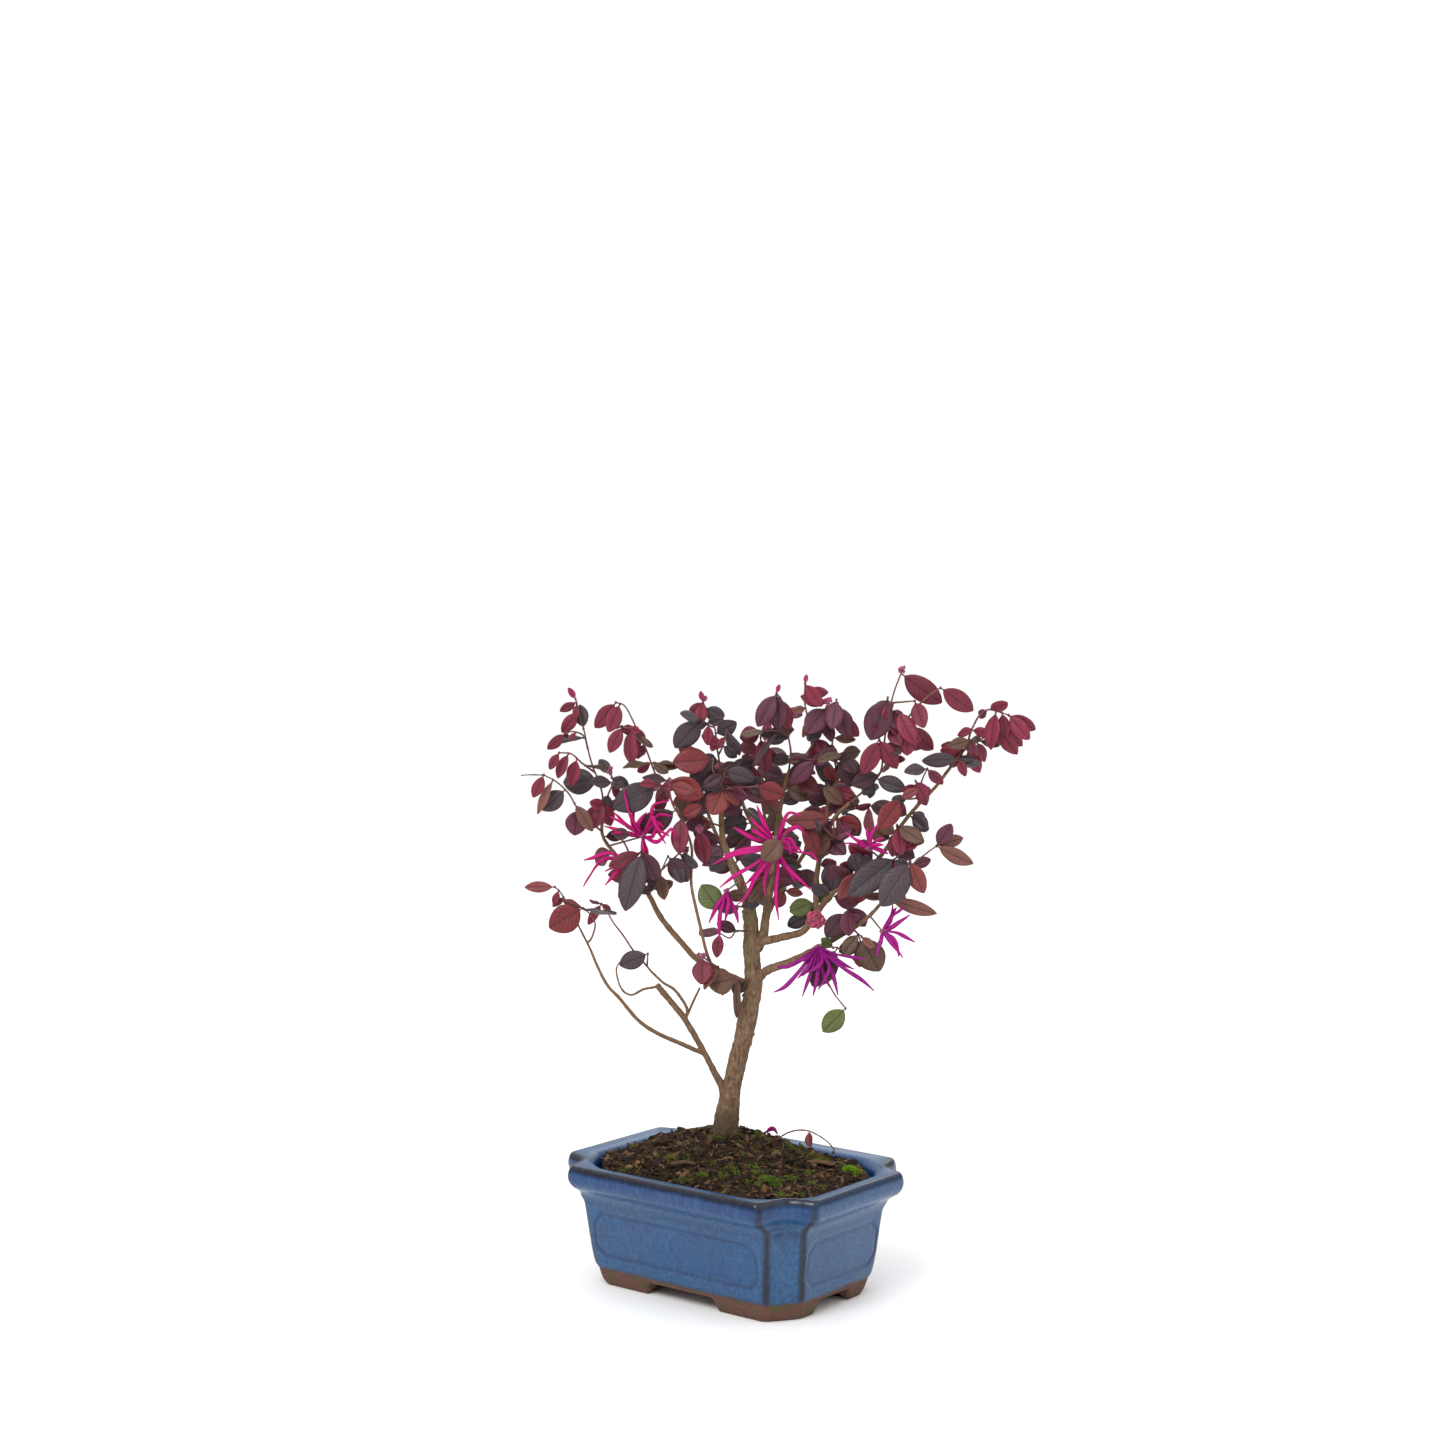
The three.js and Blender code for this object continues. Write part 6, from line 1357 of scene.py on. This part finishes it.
def leaf_blade(skin, leaf):
    """A thin two-sided blade on its stalk, folded along the midrib, with a wavy edge."""
    stations, half = ((15, 4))
    dice = random.Random(int(leaf.seed * 1000))
    base, flush = [linear(c) for c in LEAF_COLOURS[leaf.kind]]
    base = blend(base, flush, dice.uniform(0, 0.7))
    shade = dice.uniform(0.82, 1.15)
    wave, phase = dice.uniform(0.15, 0.5), dice.uniform(0, 6)
    top_rows, under_rows = [], []
    for i in range(stations + 1):
        s = (i / stations) ** 0.9
        blade = min(1, max(0, (s - 0.1) / 0.9))
        width = leaf.half_width * LEAF_FULLNESS * math.sin(math.pi * min(0.995, blade ** 0.95)) ** 0.62
        width = max(width, 0.42 if s < 0.2 else 0.12)
        thick = 0.4 if s < 0.12 else 0.16
        top_row, under_row = [], []
        for k in range(-half, half + 1):
            side = k / half
            lift = leaf.fold * abs(side) * width - leaf.droop * leaf.length * s * s
            ripple = math.sin(9 * s + phase + (1.7 if k > 0 else 0))
            lift += wave * side * side * ripple * smooth_step(0.15, 0.4, s)
            lift -= 0.12 * leaf.half_width * side**4
            if s > 0.12:
                lift -= 0.14 * math.exp(-(side / 0.12)**2)
            centre = (leaf.root + leaf.direction * (s * leaf.length * LEAF_FULLNESS)
                      + leaf.across * (side * width) + leaf.out * lift)
            edge = thick * (1 - 0.75 * side * side)
            tint = blend(base, flush, 0.5 * side * side * s)
            tint = tuple(c * shade for c in tint)
            under = blend(tint, linear("#8a5a5c"), 0.28)
            mark = (s, side, leaf.seed)
            top_row.append(skin.add(centre + leaf.out * edge, tint, mark))
            below = edge + 0.12 * math.exp(-(side / 0.15)**2)
            under_row.append(skin.add(centre - leaf.out * below, under, mark))
        top_rows.append(top_row)
        under_rows.append(under_row)
    rings = [top + list(reversed(under)) for top, under in zip(top_rows, under_rows)]
    skin.ring_faces(rings)
    skin.faces += [tuple(reversed(rings[0])), tuple(rings[-1])]


# Sprays that stay as open as their own leaves leave them.
SPARSE = ("low_hanging", "long_left_tip", "middle_left_low_tip", "inner_small", "centre_leaf",
          "thin_stem_middle", "trunk_left", "far_left", "right_low_base", "top_left", "upper_left_low",
          "left_limb_base")


def odd_leaf(dice, root, heading, length, kind):
    leaf = Leaf(root, heading, dice.uniform(-55, 55), dice.uniform(-40, 40), length,
                length * LEAF_WIDTH[kind] * dice.uniform(0.95, 1.15), dice.uniform(-1, 1))
    leaf.kind, leaf.seed = kind, dice.uniform(0, 90)
    return leaf


def crowding_leaves(name, shoot, dice):
    """The smaller leaves between the large ones of a well-clothed shoot, facing all ways round it."""
    if name in SPARSE:
        return []
    points = shoot["points"]
    kinds = [row[2] if row[3] == "bud" else row[3] for row in shoot["leaves"]] or ["mature"]
    kinds = [kind for kind in kinds if isinstance(kind, str)] or ["mature"]
    length = sum((b - a).length for a, b in zip(points, points[1:]))
    made = []
    for k in range(1 + int(length / 11)):
        share = dice.uniform(0.1, 0.75)
        root = place_along(points, share)
        side = dice.choice((-1, 1))
        heading = side * dice.uniform(55, 170)
        kind = dice.choice(kinds)
        if kind in ("green", "red"):
            kind = "mature"
        made.append(odd_leaf(dice, root, heading, dice.uniform(8, 14), kind))
    return made


# How many older leaves each branch carries inside the crown.
CLOTHED = {"left_limb": 7, "upper_left": 5, "upper_middle": 16, "middle_left": 7, "right_low": 12,
           "right_high": 20, "right_inner": 14, "right_back": 14, "back_left": 8, "back_right": 8,
           "back_middle": 8}


def make_old_leaves():
    """The older, darker leaves that sit straight on the branches inside the crown."""
    dice = random.Random(23)
    leaves = Skin()
    for name, branch in WOOD.items():
        points, radii = branch["points"], branch["radii"]
        for k in range(CLOTHED.get(name, 0)):
            t = dice.uniform(0.35, 0.95)
            root = spline(points, t)
            if root.z < 232:
                continue
            along = (spline(points, min(1, t + 0.02)) - root).normalized()
            heading = math.degrees(math.atan2(along.x, along.z))
            heading += dice.choice((-1, 1)) * dice.uniform(35, 110)
            kind = dice.choice(("mature", "dark", "dusky", "dusky", "olive", "mature", "young", "red"))
            leaf = odd_leaf(dice, root, heading, dice.uniform(11, 18), kind)
            leaf.root = root + leaf.direction * spread(radii, t) * 0.8
            leaf_blade(leaves, leaf)
    leaves.build("inner_leaves", LEAF, "leaf", ["trunk_and_branches"], of_tree=True)


def make_sprays():
    for name, spray in SPRAYS.items():
        node = "spray_" + name
        tips = node_points(node)
        shoots, leaves, buds = Skin(), Skin(), Skin()
        dice = random.Random(len(name) * 31 + len(spray["shoots"]))
        count = 0
        for shoot in spray["shoots"]:
            points = list(shoot["points"])
            if "at" not in shoot:
                points[0] = points[0] + (points[0] - points[1]).normalized() * 1.2
            old, new = linear("#6b4a38"), linear("#7a3040")
            tint = blend(old, new, 0.25 + 0.5 * (count % 3) / 2)
            shoots.tube(points, [SHOOT_RADIUS * 0.85, SHOOT_RADIUS * 0.55], 8, tint, wobble=0.15,
                        step=7 * (len(points) - 1))
            for row in shoot["leaves"]:
                root = place_along(shoot["points"], row[0])
                leaf = settled_leaf(root, row, count, tips)
                leaf_blade(leaves, leaf)
                shoots.ball(root, 0.85, blend(tint, new, 0.5), rows=4, stretch=(0.9, 0.9, 1.2))
                count += 1
            for leaf in crowding_leaves(name, shoot, dice):
                leaf_blade(leaves, leaf)
            tip = shoot["points"][-1]
            for k in range(shoot.get("buds", 0)):
                angle = 2.1 * k + 0.6
                spot = tip + Vector((math.cos(angle), -0.3, math.sin(angle))) * BUD_RADIUS * 0.75
                bud_cluster(buds, spot, k)
        shoots.build("shoots_" + name, SHOOT, "bark", [node], of_tree=True)
        if leaves.points:
            leaves.build("leaves_" + name, LEAF, "leaf", [node], of_tree=True)
        if buds.points:
            buds.build("buds_" + name, BUD, "petal", [node], of_tree=True)


def bud_cluster(skin, spot, k):
    """Six small egg-shaped buds pressed together."""
    dice = random.Random(int(spot.x * 10) + k)
    for j in range(6):
        offset = Vector((dice.uniform(-1, 1), dice.uniform(-1, 1), dice.uniform(-1, 1))).normalized() * 1.25
        tint = linear(dice.choice(("#8f2150", "#a32a5e", "#6f1f46", "#b0386c")))
        size = dice.uniform(0.75, 1.05)
        skin.ball(spot + offset, size, tint, stretch=(0.85, 0.85, 1.2), rows=8)


def petal(skin, way, colour, seed):
    """A narrow strap that tapers at both ends, slightly cupped, twisting as it goes."""
    dice = random.Random(seed)
    stations = 22
    twist, swing = dice.uniform(-0.9, 0.9), dice.uniform(0, 6)
    rings = []
    for i in range(stations + 1):
        t = i / stations
        centre = spline(way, t)
        along = (spline(way, min(1, t + 0.02)) - spline(way, max(0, t - 0.02))).normalized()
        across = along.cross(Vector((0, 1, 0))).normalized()
        out = across.cross(along)
        turn = twist * math.sin(3 * t) + 0.5 * math.sin(5 * t + swing)
        across, out = (across * math.cos(turn) + out * math.sin(turn),
                       out * math.cos(turn) - across * math.sin(turn))
        half = PETAL_WIDTH / 2 * (0.6 + 0.75 * math.sin(math.pi * min(1, t * 1.05))) * (1 - 0.4 * t**8)
        ring = []
        for side, face in ((-1, 0), (-0.5, 1), (0, 1), (0.5, 1), (1, 0), (0.5, -1), (0, -1), (-0.5, -1)):
            cup = 0.35 * half * side * side + 0.18 * math.sin(7 * t + 3 * side + swing) * abs(side)
            point = centre + across * (side * half) + out * (cup + 0.14 * face)
            tint = blend(linear(colour), linear("#7d0f6a"), 0.5 * (1 - t) ** 3)
            ring.append(skin.add(point, tint, (t, side, seed)))
        rings.append(ring)
    skin.ring_faces(rings)
    skin.faces += [tuple(reversed(rings[0])), tuple(rings[-1])]


def companion(way, dice):
    """A shorter petal beside one of the long ones, bent its own way."""
    turn, lean, share = math.radians(dice.uniform(-22, 22)), dice.uniform(-5, 5), dice.uniform(0.6, 0.9)
    made = []
    for i, point in enumerate(way):
        t = i / (len(way) - 1)
        off = (point - way[0]) * share
        swing = turn * (1 + 0.9 * t)
        off = Vector((off.x * math.cos(swing) - off.z * math.sin(swing), off.y + lean * t,
                      off.x * math.sin(swing) + off.z * math.cos(swing)))
        made.append(way[0] + off)
    return made


def make_flowers():
    colours = {"flower_left": "#d3127f", "flower_left_low": "#c9117d", "flower_centre": "#d6148a",
               "flower_trunk": "#c0148c", "flower_low": "#9a1c96", "flower_right": "#b0149a",
               "flower_right_high": "#d02090"}
    for number, (name, flower) in enumerate(FLOWERS.items()):
        stalk, petals = Skin(), Skin()
        points = list(flower["stalk"])
        points[0] = points[0] + (points[0] - points[1]).normalized() * 1.2
        stalk.tube(points, [0.65, 0.5], 8, linear("#5d3a33"), wobble=0.15, step=12)
        heart = flower["heart"]
        for k in range(9):
            angle, rise = 2.4 * k, (k % 3 - 1) * 0.7
            offset = Vector((math.cos(angle), math.sin(angle) * 0.8, rise)) * 1.2
            stalk.ball(heart + offset, 0.9, blend(linear("#7a2550"), linear("#a8306a"), k / 8), rows=5)
        dice = random.Random(number)
        for k, way in enumerate(flower["ways"]):
            petal(petals, way, colours[name], number * 20 + k)
            petal(petals, companion(way, dice), colours[name], number * 20 + k + 400)
        stalk.build(name + "_stalk", BUD, "bark", [name], of_tree=True)
        petals.build(name + "_petals", PETAL, "petal", [name], of_tree=True)
    skin = Skin()
    on, centre, radius = ("right_high", 3.6), Vector((49, -4, 222)), 5
    start = on_branch(*on, centre, SHOOT_RADIUS)
    start, heart = settled_way([start, centre], SHOOT_RADIUS, "flower_head", "right_high", 0.5)
    skin.tube([start + (start - heart).normalized() * 1.2, heart], 0.6, 8, linear("#6a3040"), step=6)
    skin.ball(heart, radius * 0.72, linear("#7d1238"), rows=10)
    dice = random.Random(8)
    for k in range(40):
        rise = 1 - (k + 0.5) / 20
        wide = math.sqrt(max(0, 1 - rise * rise))
        offset = Vector((wide * math.cos(2.4 * k), wide * math.sin(2.4 * k), rise))
        tint = blend(linear("#8f0f38"), linear("#d01a60"), (k % 5) / 4)
        skin.ball(heart + offset * radius * dice.uniform(0.72, 1.12), dice.uniform(0.9, 1.5), tint,
                  stretch=(1, 1, 1.15), rows=8)
    skin.build("flower_head_buds", BUD, "petal", ["flower_head"], of_tree=True)


# ------------------------------------------------------------ what has fallen on the soil
def resting(x, y, rise):
    return Vector((x, y, soil_height(x, y) + rise))


def make_fallen():
    skin = Skin()
    leaf = Leaf(resting(27, 42, 1.2), 0, 0, 0, 9, 4.9, 0.4)
    leaf.direction = Vector((-0.35, 0.2, 0.9)).normalized()
    out = Vector((0.2, -1, 0))
    leaf.out = (out - leaf.direction * out.dot(leaf.direction)).normalized()
    leaf.across = leaf.direction.cross(leaf.out)
    leaf.fold, leaf.kind, leaf.seed = 0.5, "salmon", 5.0
    leaf_blade(skin, leaf)
    skin.build("fallen_leaf_blade", LEAF, "leaf", ["fallen_leaf"])
    skin = Skin()
    way = [resting(2, 38, -1), resting(10, 43, 7), resting(20, 47, 10), resting(31, 49, 9),
           resting(38, 50, 4), resting(38, 50, 1.2)]
    skin.tube(way, [0.5, 0.35], 8, linear("#6a3f3a"), step=50, wobble=0.25)
    skin.ball(way[-1], 0.9, linear("#4a2a24"), rows=6, wobble=0.3)
    skin.build("fallen_stem_twig", SHOOT, "bark", ["fallen_stem"])
    skin = Skin()
    way = [resting(-8, 42, 0.6), resting(-6, 43, 3.4), resting(-2, 43, 4.4), resting(1, 43, 2)]
    petal(skin, way, "#8a1273", 77)
    skin.build("fallen_petal_curl", PETAL, "petal", ["fallen_petal"])
    make_plank("bark_strip", -10, -35, (15, 4, 2.4), 0.75, "#5d4733")
    make_plank("wood_chip", 47, 24, (19, 6, 2), 0.3, "#6b4a33")


# ------------------------------------------------------------ floor, light and camera
def make_stage():
    paper = bpy.data.meshes.new("floor")
    reach = 30
    corners = [(-reach, -reach, 0), (reach, -reach, 0), (reach, reach, 0), (-reach, reach, 0)]
    paper.from_pydata(corners, [], [(0, 1, 2, 3)])
    floor = bpy.data.objects.new("floor", paper)
    bpy.context.scene.collection.objects.link(floor)
    r = Recipe("pale_paper_floor")
    paper.materials.append(r.finish(Base_Color="#fafafa", Roughness=0.9, Specular_IOR_Level=0.1))
    world = bpy.data.worlds.new("white_studio")
    bpy.context.scene.world = world
    world.use_nodes = True
    # White where it is seen; as a light it is bright overhead and dim near the floor, like a studio tent.
    nodes, links = world.node_tree.nodes, world.node_tree.links
    back = nodes["Background"]
    height = nodes.new("ShaderNodeSeparateXYZ")
    links.new(nodes.new("ShaderNodeTexCoord").outputs["Generated"], height.inputs[0])
    glow = nodes.new("ShaderNodeMapRange")
    glow.inputs["From Min"].default_value, glow.inputs["From Max"].default_value = -0.1, 0.75
    glow.inputs["To Min"].default_value, glow.inputs["To Max"].default_value = 0.2, 1.25
    links.new(height.outputs["Z"], glow.inputs["Value"])
    seen = nodes.new("ShaderNodeMix")
    links.new(nodes.new("ShaderNodeLightPath").outputs["Is Camera Ray"], seen.inputs["Factor"])
    links.new(glow.outputs["Result"], seen.inputs["A"])
    seen.inputs["B"].default_value = 1.08
    links.new(seen.outputs["Result"], back.inputs["Strength"])
    back.inputs["Color"].default_value = (1, 1, 1, 1)
    for name, place, size, power in (("key_softbox", (-0.7, -1.3, 1.5), 0.8, 19),
                                     ("fill_softbox", (1.5, -0.9, 0.9), 1.4, 3),
                                     ("back_softbox", (0.5, 1.6, 1.3), 1.2, 5)):
        light = bpy.data.lights.new(name, "AREA")
        light.shape, light.size, light.energy = "SQUARE", size, power
        lamp = bpy.data.objects.new(name, light)
        lamp.location = turned(place) + POT_CENTRE * MM
        aim = Vector((0, 0, 0.2)) + POT_CENTRE * MM - lamp.location
        lamp.rotation_euler = aim.to_track_quat("-Z", "Y").to_euler()
        bpy.context.scene.collection.objects.link(lamp)


def make_camera():
    camera = bpy.data.cameras.new("camera")
    camera.lens, camera.sensor_width = 60.37, 36
    camera.clip_start, camera.clip_end = 0.05, 50
    holder = bpy.data.objects.new("camera", camera)
    azimuth = math.radians(38.47)
    back = Vector((math.sin(azimuth), -math.cos(azimuth), 0))
    right = Vector((math.cos(azimuth), math.sin(azimuth), 0))
    holder.location = back * 1.4365 + right * -0.0064 + Vector((0, 0, 0.4328)) + POT_CENTRE * MM
    holder.rotation_euler = (math.radians(90 - 3.72), 0, azimuth)
    bpy.context.scene.collection.objects.link(holder)
    bpy.context.scene.camera = holder
    bpy.context.scene.view_settings.view_transform = "Standard"


make_pot()
make_screens()
make_soil()
make_crumbs()
make_moss()
make_wood()
make_old_leaves()
make_sprays()
make_flowers()
make_fallen()
make_stage()
make_camera()
